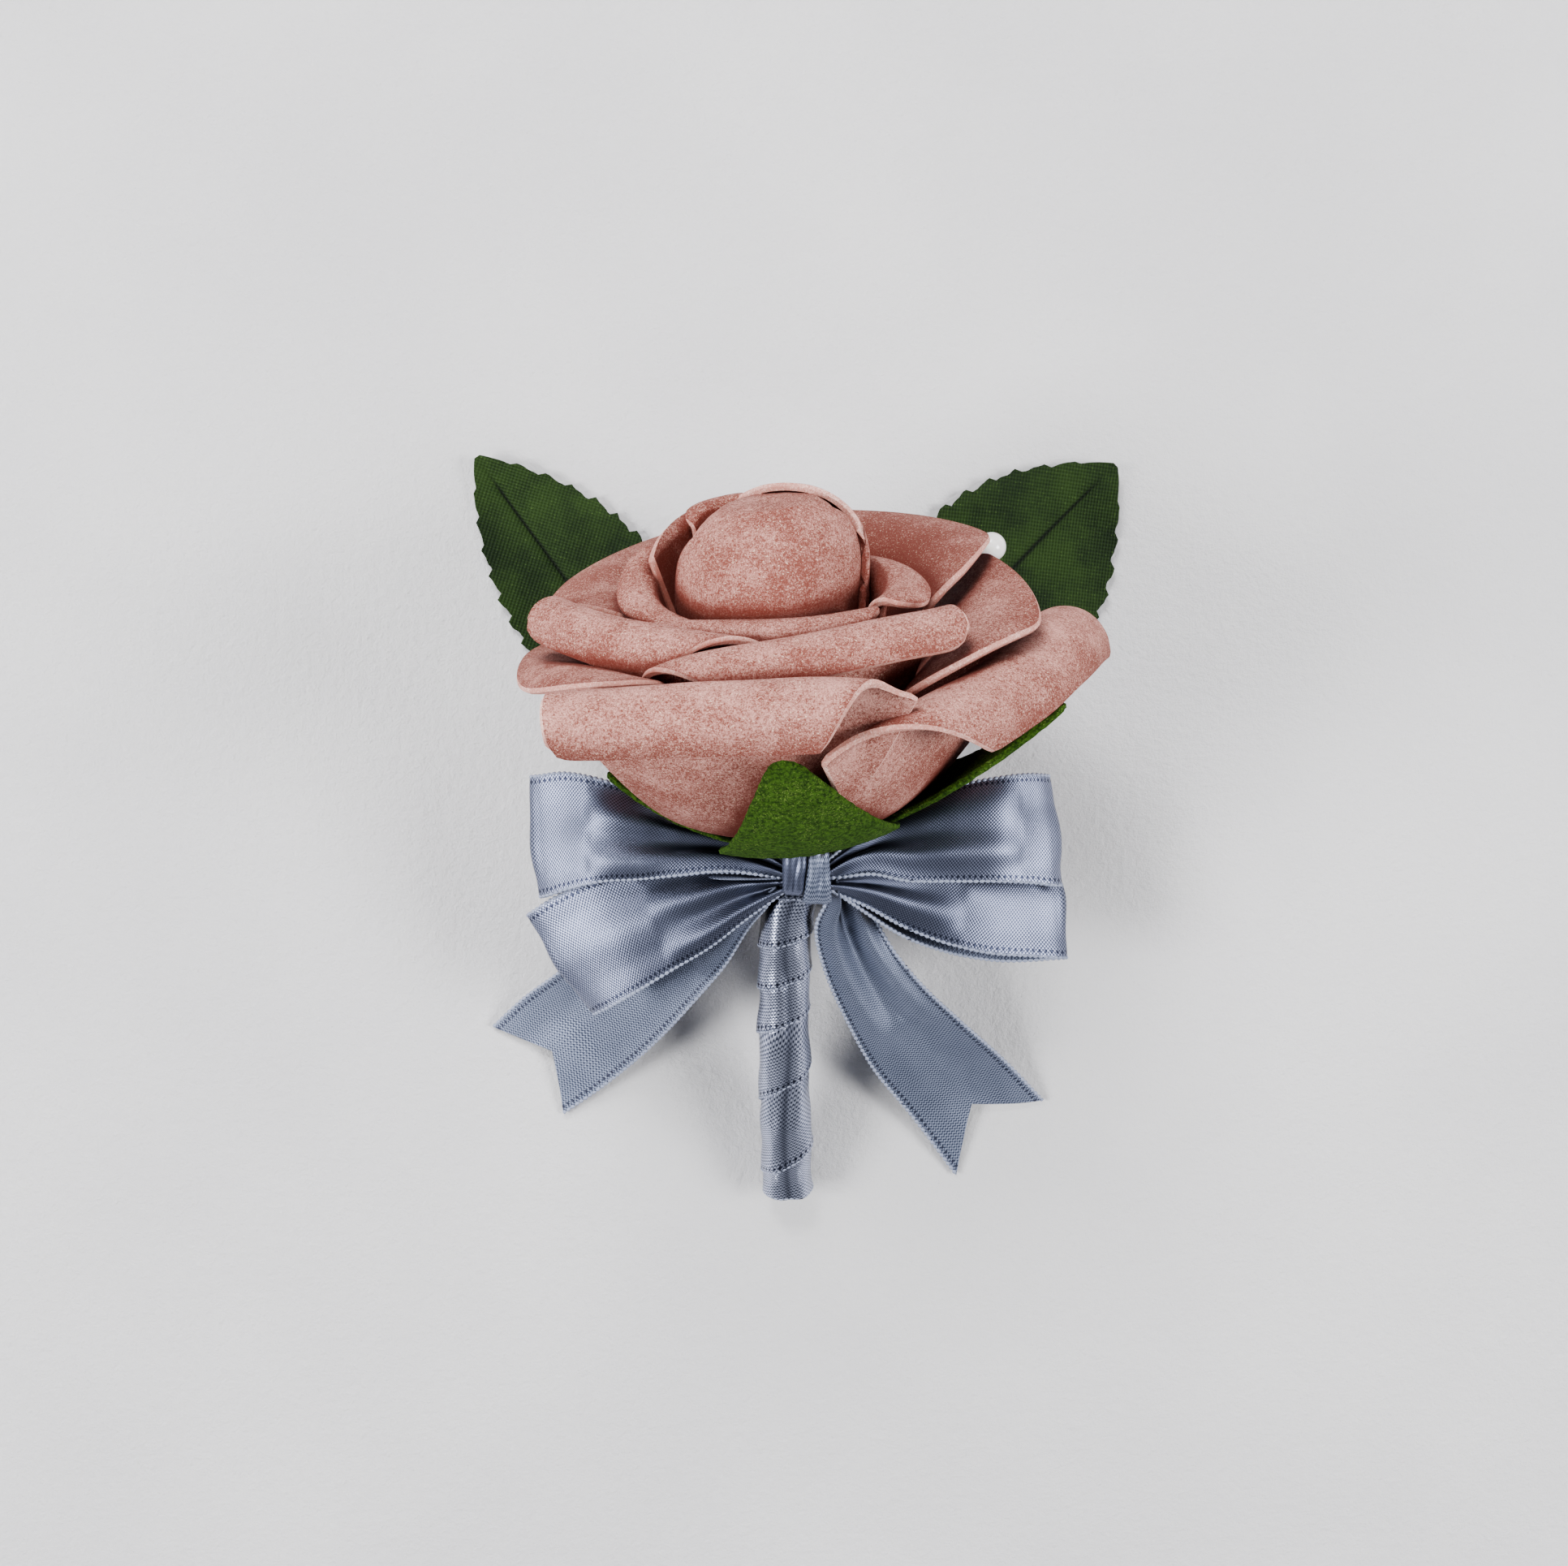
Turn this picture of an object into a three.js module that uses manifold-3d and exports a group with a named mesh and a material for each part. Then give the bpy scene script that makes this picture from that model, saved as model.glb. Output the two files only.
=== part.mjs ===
// A boutonniere: a foam rose on a wire stem, with a flocked calyx, two silk leaves, a satin bow,
// a stem wound in the same ribbon, and the pearl-headed pin that fixes it to a lapel.
// It lies on its back on a table: +Z is up, the stem points along -Y, the rose faces +Y and up.
// All lengths are in millimetres. The origin is under the middle of the object, on the table.

import * as THREE from "three";
import { mergeVertices } from "three/addons/utils/BufferGeometryUtils.js";
import Module from "manifold-3d";

const wasm = await Module();
wasm.setup();

// Driving dimensions
const GAP = 0.3; // left between pieces that touch
const RIBBON_THICK = 0.6;
const PETAL_THICK = 1.1;
const SEPAL_THICK = 1.0;
const LEAF_THICK = 0.7;

// The head of the stem, where it enters the calyx, and how the rose leans from there.
const HEAD = new THREE.Vector3(1.4, -3.16, 22.8);
const ROSE_TILT = 21.5; // degrees, of the rose's axis above the table
const ROSE_LEAN = 7; // degrees, to the left

const STEM = {
  tip: new THREE.Vector3(-1.2, -51.2, 3.2),
  wire: 1.5, // radius of the wire inside
  radius: 3.4, // over the winding
  wound: 51.8, // how far up the winding goes, just short of the calyx
};
const WINDING = { turns: 7.5, crowding: 1.12, step: 0.36 };
const PETIOLE = 0.6; // radius

const rad = THREE.MathUtils.degToRad;
const lerp = THREE.MathUtils.lerp;

// ---------------------------------------------------------------- solids

// Merges a closed geometry's vertices by place and makes it a solid that can be joined or cut.
// With a matrix it is moved into another frame first.
function solidOf(geometry, matrix = new THREE.Matrix4()) {
  const bare = geometry.index ? geometry.toNonIndexed() : geometry.clone();
  bare.applyMatrix4(matrix);
  for (const name of Object.keys(bare.attributes)) {
    if (name !== "position") bare.deleteAttribute(name);
  }
  const merged = mergeVertices(bare, 1e-4);
  return new wasm.Manifold(
    new wasm.Mesh({
      numProp: 3,
      vertProperties: merged.attributes.position.array,
      triVerts: new Uint32Array(merged.index.array),
    }),
  );
}

// The largest body of a solid, with no loose scrap and no sealed hollow.
function mainBody(solid) {
  const bodies = solid.decompose();
  return bodies.reduce((best, body) => (body.volume() > best.volume() ? body : best));
}

function geometryOf(solid) {
  const mesh = solid.getMesh();
  const places = new Float32Array(mesh.numVert * 3);
  for (let i = 0; i < mesh.numVert; i++) {
    places.set(mesh.vertProperties.subarray(i * mesh.numProp, i * mesh.numProp + 3), i * 3);
  }
  const geometry = new THREE.BufferGeometry();
  geometry.setAttribute("position", new THREE.BufferAttribute(places, 3));
  geometry.setIndex(new THREE.BufferAttribute(new Uint32Array(mesh.triVerts), 1));
  geometry.computeVertexNormals();
  return geometry;
}

// A grid of points whose four borders are pushed outward, for a cut with room to spare.
function grownRows(rows, border) {
  if (border === 0) return rows;
  const beyond = (end, inner) => end.clone().add(end.clone().sub(inner).setLength(border));
  const lengthen = (row) => [beyond(row[0], row[1]), ...row.slice(1, -1), beyond(row.at(-1), row.at(-2))];
  const longer = rows.map(lengthen);
  const outer = (end, inner) => end.map((point, j) => beyond(point, inner[j]));
  return [outer(longer[0], longer[1]), ...longer.slice(1, -1), outer(longer.at(-1), longer.at(-2))];
}

// A closed sheet of even thickness around a grid of points. rows[i][j] is a Vector3, with i
// running across the sheet and j along it. Both faces are split into triangles alike.
function sheetGeometry(plainRows, thickness, border = 0) {
  const rows = grownRows(plainRows, border);
  const across = rows.length;
  const along = rows[0].length;
  const at = (i, j) => rows[Math.min(Math.max(i, 0), across - 1)][Math.min(Math.max(j, 0), along - 1)];
  const faces = [[], []];
  for (let i = 0; i < across; i++) {
    for (let j = 0; j < along; j++) {
      const u = at(i + 1, j).clone().sub(at(i - 1, j));
      const v = at(i, j + 1).clone().sub(at(i, j - 1));
      const normal = u.cross(v).normalize();
      faces[0].push(at(i, j).clone().addScaledVector(normal, thickness / 2));
      faces[1].push(at(i, j).clone().addScaledVector(normal, -thickness / 2));
    }
  }
  const places = [...faces[0], ...faces[1]].flatMap((p) => p.toArray());
  const back = across * along;
  const id = (i, j) => i * along + j;
  const index = [];
  const quad = (a, b, c, d) => index.push(a, b, c, a, c, d);
  for (let i = 0; i + 1 < across; i++) {
    for (let j = 0; j + 1 < along; j++) {
      const [a, b, c, d] = [id(i, j), id(i + 1, j), id(i + 1, j + 1), id(i, j + 1)];
      index.push(a, b, c, a, c, d);
      index.push(back + a, back + c, back + b, back + a, back + d, back + c);
    }
  }
  for (let i = 0; i + 1 < across; i++) {
    quad(id(i, 0), back + id(i, 0), back + id(i + 1, 0), id(i + 1, 0));
    const end = along - 1;
    quad(id(i, end), id(i + 1, end), back + id(i + 1, end), back + id(i, end));
  }
  for (let j = 0; j + 1 < along; j++) {
    quad(id(0, j), id(0, j + 1), back + id(0, j + 1), back + id(0, j));
    const side = across - 1;
    quad(id(side, j), back + id(side, j), back + id(side, j + 1), id(side, j + 1));
  }
  const geometry = new THREE.BufferGeometry();
  geometry.setAttribute("position", new THREE.Float32BufferAttribute(places, 3));
  geometry.setIndex(index);
  return geometry;
}

function meshOf(name, geometry, material) {
  const mesh = new THREE.Mesh(geometry, material);
  mesh.name = name;
  return mesh;
}

function material(color, roughness, metalness = 0) {
  return new THREE.MeshStandardMaterial({ color, roughness, metalness });
}

const FOAM = material(0xb5807a, 0.85);
const FLOCK = material(0x3f6f22, 0.95);
const SILK_LEAF = material(0x1f4620, 0.7);
const SATIN = material(0x8d99b0, 0.4);
const GREEN_WIRE = material(0x3a5a2c, 0.6);
const PEARL = material(0xf1eeea, 0.25);
const STEEL = material(0xb8bcc0, 0.3, 1);

// ---------------------------------------------------------------- rose

// Places in the rose are given as across (to the right), front (up from the table) and up
// (along the rose's axis, from the head of the stem).
const roseFrame = new THREE.Group();
roseFrame.position.copy(HEAD);
roseFrame.rotation.set(-rad(90 - ROSE_TILT), -rad(ROSE_LEAN), 0);
roseFrame.updateMatrixWorld(true);

const inRose = ([across, front, up]) => new THREE.Vector3(across, -front, up);

// A point at a bearing round the rose's axis: 0 is the front, 90 the right.
const round = (radius, bearing, up) =>
  inRose([radius * Math.sin(rad(bearing)), radius * Math.cos(rad(bearing)), up]);

// A petal is a fan of foam. It rises from its root, heads for its belly, and bends over a rim
// line that runs from left to right, as seen from outside. bow is how far that line bulges
// outward, and dip how far its two ends droop. roll is the bend's radius at each end. reach is
// how much of the sheet lies past the rim: at the left, at the tip and at the right. shape says
// how the outline nears the tip on each side: 1 is straight, less is fuller, more is hollow.
// spread is how many degrees the belly reaches to the left and to the right.
const ROLLED_PETALS = [
  // outer ring: front, right, left, and the two at the back that it lies on
  { left: [-24.5, 27.5, 34], right: [16, 27, 30.4], bow: 1.2, dip: [0, 1.5], roll: [3.1, 3.4],
    reach: [12.5, 14, 0.6], tip: 0.42, shape: [1, 2.2], belly: [23, 8], spread: [44, 16] },
  { left: [4.5, 29, 24.2], right: [33, -10, 26], bow: 5, dip: [1, 2], roll: [3.8, 4.5],
    reach: [1, 16, 15], tip: -0.3, shape: [1.4, 1], belly: [22, 7], spread: [38, 38] },
  { left: [-26.5, -10, 27.5], right: [-13, 20, 31], bow: 2, dip: [0, 0], roll: [8, 8],
    reach: [4, 15, 2], tip: 0.2, shape: [0.8, 1.1], belly: [14, 18], spread: [24, 24] },
  { left: [4, -29, 21.5], right: [-28, -14.4, 26.5], bow: 3.6, dip: [1, 1], roll: [3.2, 3.2],
    reach: [3, 9, 5], tip: 0.2, shape: [0.6, 0.6], belly: [22, 7.5], spread: [30, 30] },
  { left: [30, -7, 25], right: [-3, -29, 21.5], bow: 6.2, dip: [1, 1], roll: [3.2, 3.2],
    reach: [5, 8.6, 3], tip: 0, shape: [0.6, 0.6], belly: [22, 7.5], spread: [30, 30] },
  // second ring: front, front left, right, back right and back left
  { left: [-16.3, 19.5, 34.4], right: [19.3, 12, 33.6], bow: 2.5, dip: [3, 0], roll: [2.5, 2.9],
    reach: [0.6, 10, 10.5], tip: -0.42, shape: [1, 1], belly: [17, 10], spread: [22, 22] },
  { left: [-25.5, 1, 37.2], right: [0, 18.5, 34], bow: 2.5, dip: [0, 0], roll: [2.9, 2.6],
    reach: [10, 11.5, 0.5], tip: 0.12, shape: [1, 2.2], belly: [17, 10], spread: [24, 24] },
  { left: [14.5, 18.5, 26.5], right: [23.5, -12, 31.5], bow: 2, dip: [0, 0], roll: [12, 9],
    reach: [1.5, 14.5, 5], tip: -0.15, shape: [0.9, 1], belly: [12, 19], spread: [24, 24] },
  { left: [19.5, 0, 31], right: [3, -22, 35.5], bow: 4.5, dip: [0, 0], roll: [8, 7],
    reach: [3, 13, 6], tip: -0.35, shape: [0.8, 0.8], belly: [12, 20], spread: [26, 26] },
  { left: [-4, -22, 35.5], right: [-15.5, 4, 33.4], bow: 5, dip: [0, 0], roll: [7, 7],
    reach: [6, 15, 2], tip: 0.4, shape: [0.8, 0.7], belly: [12, 21], spread: [26, 26] },
  // inner ring: front, right, left and the one behind the bud
  { left: [-16.5, 8, 36.2], right: [12, 10.5, 34.8], bow: 3.5, dip: [0, 0], roll: [1.6, 1.6],
    reach: [0.8, 7, 3], tip: 0.2, shape: [0.5, 0.6], belly: [13, 16], spread: [36, 36] },
  { left: [12, 9, 35], right: [9.5, -3, 35.2], bow: 3, dip: [0, 0], roll: [2.4, 2.4],
    reach: [6, 7, 6], tip: -0.5, shape: [1, 1], belly: [11, 18], spread: [36, 36] },
  { left: [-13.5, -4, 40.5], right: [-9, 11, 35.5], bow: 3.4, dip: [0, 0], roll: [2.2, 1.8],
    reach: [4, 5.5, 2], tip: 0.1, shape: [0.5, 0.6], belly: [11, 18], spread: [36, 36] },
  { left: [-4, -9.5, 44.5], right: [-14.8, 0.5, 42.3], bow: 2.5, dip: [0, 0], roll: [1.2, 1.6],
    reach: [3, 2.4, 0.5], tip: -0.4, shape: [1, 1], belly: [10.5, 22], spread: [40, 40] },
];
const OUTER_RING = 5; // petals in it, which are the ones that reach the calyx
const PETAL_ROOT = { radius: 6.5, up: 6.5, spread: 30 };
const PETAL_SPLAY = 0.12; // how fast a petal widens past its rim
const PETAL_GRID = { across: 8, body: 3, roll: 5 };

// The petals closed round the bud lie on an egg. from and to are the bearings of their sides,
// slant is how far the first side swings on its way up, top is their height, and off is how far
// they stand off the egg.
const BUD_PETALS = [
  { from: -95, to: 80, slant: 0, top: 49.5, off: 0 },
  { from: 44, to: 200, slant: 36, top: 48, off: 1.3 },
];
const BUD = { radius: 11.5, across: -0.75, bottom: 24, shoulder: 37, height: 13.5 };
const BUD_GRID = { across: 9, along: 6 };

// The egg's radius at a height: a dome on a barrel that narrows a little downward.
function budRadius(up) {
  const rise = (up - BUD.shoulder) / BUD.height;
  if (rise < 0) return BUD.radius - 0.02 * (BUD.shoulder - up) ** 2;
  return BUD.radius * Math.sqrt(Math.max(1 - rise ** 2.4, 0.02));
}

// The point a share u (-1 to 1) along a petal's rim line, with the ways outward and along it.
function rimAt(petal, u) {
  const left = inRose(petal.left);
  const right = inRose(petal.right);
  const half = right.clone().sub(left).multiplyScalar(0.5);
  const chordOut = new THREE.Vector3(half.y, -half.x, 0).normalize();
  const droop = petal.dip[u < 0 ? 0 : 1] * u ** 4;
  const point = left.add(right).multiplyScalar(0.5)
    .addScaledVector(half, u)
    .addScaledVector(chordOut, petal.bow * (1 - u * u));
  point.z -= droop;
  const along = half.clone().addScaledVector(chordOut, -2 * petal.bow * u).normalize();
  return { point, along, outward: new THREE.Vector3(along.y, -along.x, 0).normalize() };
}

function bearingOf(point) {
  return THREE.MathUtils.radToDeg(Math.atan2(point.x, -point.y));
}

// How much of the sheet lies past the rim at u.
function reachAt(petal, u) {
  const [left, tip, right] = petal.reach;
  const onLeft = u < petal.tip;
  const t = onLeft ? (u + 1) / (petal.tip + 1) : (1 - u) / (1 - petal.tip);
  return lerp(onLeft ? left : right, tip, Math.max(t, 0) ** petal.shape[onLeft ? 0 : 1]);
}

// One rib of a petal, from its root by its belly to the rim, then round the bend, which eases
// towards the free edge.
function petalRib(petal, u) {
  const { point: knee, along, outward } = rimAt(petal, u);
  const middle = bearingOf(rimAt(petal, 0).point);
  const root = round(PETAL_ROOT.radius, middle + u * PETAL_ROOT.spread, PETAL_ROOT.up);
  const belly = round(petal.belly[0], middle + u * petal.spread[u < 0 ? 0 : 1], petal.belly[1]);
  const points = new THREE.QuadraticBezierCurve3(root, belly, knee).getPoints(PETAL_GRID.body);
  const rise = knee.clone().sub(belly).normalize();
  const over = outward.addScaledVector(rise, -outward.dot(rise)).normalize();
  const radius = lerp(petal.roll[0], petal.roll[1], (u + 1) / 2);
  const reach = reachAt(petal, u);
  const step = reach / PETAL_GRID.roll;
  const point = knee.clone();
  for (let k = 0; k < PETAL_GRID.roll; k++) {
    const travelled = (k + 0.5) * step;
    const angle = (travelled / radius) * (1.1 - (0.3 * travelled) / petal.reach[1]);
    point.addScaledVector(rise, step * Math.cos(angle)).addScaledVector(over, step * Math.sin(angle));
    points.push(point.clone().addScaledVector(along, PETAL_SPLAY * u * (travelled + step / 2)));
  }
  return points;
}

// Shares of the rim at which a petal has its ribs: even on each side of its tip.
function ribShares(petal) {
  const onLeft = Math.max(1, Math.round((PETAL_GRID.across * (petal.tip + 1)) / 2));
  const onRight = PETAL_GRID.across - onLeft;
  const shares = [];
  for (let i = 0; i < onLeft; i++) shares.push(lerp(-1, petal.tip, i / onLeft));
  for (let i = 0; i <= onRight; i++) shares.push(lerp(petal.tip, 1, i / onRight));
  return shares;
}

// spare thickens a petal on every side, for a cut that clears it.
function rolledPetal(petal, spare) {
  const rows = ribShares(petal).map((u) => petalRib(petal, u));
  return solidOf(sheetGeometry(rows, PETAL_THICK + 2 * spare, spare));
}

function budRib(petal, t) {
  const top = lerp(BUD.bottom + 8, petal.top, Math.sqrt(1 - (2 * t - 1) ** 4));
  const points = [];
  for (let j = 0; j <= BUD_GRID.along; j++) {
    const share = j / BUD_GRID.along;
    const up = lerp(BUD.bottom, top, share);
    const bearing = lerp(petal.from + petal.slant * share, petal.to, t);
    const point = round(budRadius(up) + petal.off, bearing, up);
    point.x += BUD.across;
    points.push(point);
  }
  return points;
}

function budPetal(petal) {
  const rows = [];
  for (let i = 0; i <= BUD_GRID.across; i++) rows.push(budRib(petal, i / BUD_GRID.across));
  return solidOf(sheetGeometry(rows, PETAL_THICK));
}

function latheSolid(profile, sides, matrix) {
  const lathe = new THREE.LatheGeometry(profile.map(([radius, up]) => new THREE.Vector2(radius, up)), sides);
  lathe.rotateX(Math.PI / 2); // the lathe turns round Y
  return solidOf(lathe, matrix);
}

// The rolled foam core that every petal is glued to.
function roseCore() {
  const profile = [[0, 4.4], [6, 5.6], [8, 9], [9.5, 16], [10.8, 26], [11.1, 36], [10.4, 41], [8, 45.5],
    [4, 48], [0, 48.6]];
  return latheSolid(profile, 16);
}

const joined = (solids) => solids.reduce((whole, solid) => whole.add(solid));

// ---------------------------------------------------------------- calyx

// A star of flocked felt: a shallow cone round the stem that parts into five sepals. Each sepal
// follows a curve from the cone by its belly towards end (radius and height), cut at length.
// half is half its width at the cone, and lean how many degrees its tip stands aside.
const CALYX_CONE = { bore: STEM.wire + GAP, radius: 8.6, inside: 2.3, outside: 4.6, thick: 0.8 };
const SEPALS = [
  { bearing: 8, belly: [24.6, 7.2], end: [32.5, 34], length: 0.8, half: 12.6, lean: -12 },
  { bearing: 68, belly: [21.6, 6.4], end: [37, 22], length: 0.97, half: 8, lean: 0 },
  { bearing: 141, belly: [21.5, 6.6], end: [33.5, 25], length: 0.72, half: 8, lean: 0 },
  { bearing: 213, belly: [21.5, 6.6], end: [33.5, 25], length: 0.7, half: 8, lean: 0 },
  { bearing: 288, belly: [19, 8], end: [30, 26], length: 0.8, half: 8.6, lean: 0 },
];
const SEPAL_ROOT = [5, 4.1];
const SEPAL_GRID = { across: 4, along: 6 };

function sepalSolid(sepal, spare, matrix) {
  const flat = ([radius, up]) => new THREE.Vector2(radius, up);
  const spine = new THREE.QuadraticBezierCurve(flat(SEPAL_ROOT), flat(sepal.belly), flat(sepal.end));
  const rows = [];
  for (let i = 0; i <= SEPAL_GRID.across; i++) {
    const v = (2 * i) / SEPAL_GRID.across - 1;
    const column = [];
    for (let j = 0; j <= SEPAL_GRID.along; j++) {
      const t = j / SEPAL_GRID.along;
      const at = spine.getPoint(t * sepal.length);
      const half = sepal.half * (1 - t ** 1.6) + 1.6;
      const swing = Math.min(THREE.MathUtils.radToDeg(half / at.x), 42);
      column.push(round(at.x, sepal.bearing + v * swing + sepal.lean * t, at.y));
    }
    rows.push(column);
  }
  return solidOf(sheetGeometry(rows, SEPAL_THICK + 2 * spare, spare), matrix);
}

function calyxSolid(spare, matrix) {
  const { bore, radius, inside, outside, thick } = CALYX_CONE;
  const profile = [[bore - spare, inside - spare], [radius + spare, outside - spare],
    [radius + spare, outside + thick + spare], [bore - spare, inside + thick + spare],
    [bore - spare, inside - spare]];
  const sepals = SEPALS.map((sepal) => sepalSolid(sepal, spare, matrix));
  return joined([latheSolid(profile, 20, matrix), ...sepals]);
}

// ---------------------------------------------------------------- stem

// The stem's line, from its cut tip to the middle of the bud.
const stemCurve = new THREE.CatmullRomCurve3([
  STEM.tip,
  new THREE.Vector3(-1.6, -36.5, 9.5),
  new THREE.Vector3(-1.7, -22, 15.3),
  new THREE.Vector3(-1.1, -11, 19.6),
  HEAD,
  roseFrame.localToWorld(inRose([0, 0, 8])),
  roseFrame.localToWorld(inRose([0, 0, 17])),
]);

// A solid round a curve whose radius may change along it and round it, with flat ends.
function tubeGeometry(curve, from, to, steps, sides, radiusAt) {
  const frames = curve.computeFrenetFrames(1, false);
  const side = frames.binormals[0];
  const places = [];
  const index = [];
  for (let j = 0; j <= steps; j++) {
    const t = lerp(from, to, j / steps);
    const middle = curve.getPointAt(t);
    const tangent = curve.getTangentAt(t);
    const across = side.clone().addScaledVector(tangent, -side.dot(tangent)).normalize();
    const over = tangent.clone().cross(across);
    for (let i = 0; i < sides; i++) {
      const angle = (2 * Math.PI * i) / sides;
      const radius = radiusAt(t, angle);
      const point = middle.clone()
        .addScaledVector(across, radius * Math.cos(angle))
        .addScaledVector(over, radius * Math.sin(angle));
      places.push(...point.toArray());
    }
  }
  const id = (j, i) => j * sides + (i % sides);
  for (let j = 0; j < steps; j++) {
    for (let i = 0; i < sides; i++) {
      index.push(id(j, i), id(j, i + 1), id(j + 1, i + 1), id(j, i), id(j + 1, i + 1), id(j + 1, i));
    }
  }
  for (let i = 1; i + 1 < sides; i++) {
    index.push(id(0, 0), id(0, i + 1), id(0, i));
    index.push(id(steps, 0), id(steps, i), id(steps, i + 1));
  }
  const geometry = new THREE.BufferGeometry();
  geometry.setAttribute("position", new THREE.Float32BufferAttribute(places, 3));
  geometry.setIndex(index);
  return geometry;
}

const stemShare = (distance) => distance / stemCurve.getLength();

// The winding: each turn of ribbon laps the one below it, so its edge stands out as a step.
function windingRadius(t, angle) {
  const turns = WINDING.turns * (t / stemShare(STEM.wound)) ** WINDING.crowding - angle / (2 * Math.PI);
  return STEM.radius + WINDING.step * (0.5 - (turns - Math.floor(turns)));
}

// The wire stops just short of both ends of its bore.
const wireGeometry = () => tubeGeometry(stemCurve, 0.006, 0.994, 20, 8, () => STEM.wire);
const boreGeometry = () => tubeGeometry(stemCurve, 0, 1, 20, 8, () => STEM.wire + GAP + 0.05);

function windingSolid() {
  const top = stemShare(STEM.wound);
  return solidOf(tubeGeometry(stemCurve, 0, top, 38, 12, windingRadius)).subtract(solidOf(boreGeometry()));
}

// ---------------------------------------------------------------- leaves

// A leaf's stalk and midrib, from where the stalk enters the winding to the tip. half is the
// blade's greatest width on each side of its midrib.
const LEAVES = {
  leaf_left: {
    stalk: [[-2.6, -13.5, 15.8], [-3.2, -9, 15.8], [-5, -4.5, 13.6], [-9.2, 2.6, 8.6]],
    blade: [[-14.6, 9.8, 4.2], [-23.5, 21.8, 0.65], [-33.6, 36.1, 0.48], [-41, 46.2, 1.1],
      [-45.3, 52.4, 2.4]],
    half: [9.2, 11.4],
  },
  leaf_right: {
    stalk: [[0.4, -13.5, 15.8], [1.6, -9, 15.8], [3.4, -4.5, 13.6], [6.8, 4.4, 8]],
    blade: [[11.6, 14.6, 3.4], [20.8, 25.4, 0.65], [31.9, 37.7, 0.48], [39.4, 45.4, 1.1],
      [45.4, 51.2, 2.4]],
    half: [12.6, 14],
  },
};
const LEAF_TEETH = { count: 12, depth: 1.1, steps: [0, 0.6, 1] };
const LEAF_COLUMNS = [-1, -0.8, 0, 0.8, 1];

// The blade's width at a share of its length, as a share of its greatest.
const leafWidth = (t) => 4 * t * (1 - t);

function leafSolid({ stalk, blade, half }) {
  const midrib = new THREE.CatmullRomCurve3(blade.map((place) => new THREE.Vector3(...place)));
  const up = new THREE.Vector3(0, 0, 1);
  const rows = LEAF_COLUMNS.map((v) => {
    const column = [];
    for (let j = 0; j <= LEAF_TEETH.count * 3; j++) {
      const t = j / (LEAF_TEETH.count * 3);
      const aside = midrib.getTangentAt(t).cross(up).normalize();
      const tooth = Math.abs(v) < 1 ? 0 : LEAF_TEETH.depth * LEAF_TEETH.steps[j % 3] * (1 - t ** 8);
      const reach = Math.abs(v) * (half[v < 0 ? 0 : 1] * leafWidth(t) + 0.5) + tooth;
      column.push(midrib.getPointAt(t).addScaledVector(aside, Math.sign(v) * reach));
    }
    return column;
  });
  return solidOf(sheetGeometry(rows, LEAF_THICK)).add(solidOf(stalkGeometry({ stalk, blade }, 0)));
}

// The wired stalk runs on a little way under the blade.
function stalkGeometry({ stalk, blade }, spare) {
  const places = [...stalk, ...blade.slice(0, 2)].map((place) => new THREE.Vector3(...place));
  const foot = spare > 0 ? 0 : 0.015;
  return tubeGeometry(new THREE.CatmullRomCurve3(places), foot, 0.86, 16, 6, () => PETIOLE + spare);
}

// ---------------------------------------------------------------- bow

// Where the bow sits on the stem: the middle of its tie, how far that is above the stem's line,
// and how far it is pulled to the right.
const TIE = { along: 53.6, above: 6.2, aside: -0.4, width: 6.2, half: [3.2, 1.9], wall: 0.65 };
const TIE_RING = { from: 46.8, to: 51.8, inner: 3.9, outer: 4.55 }; // round the stem

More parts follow.
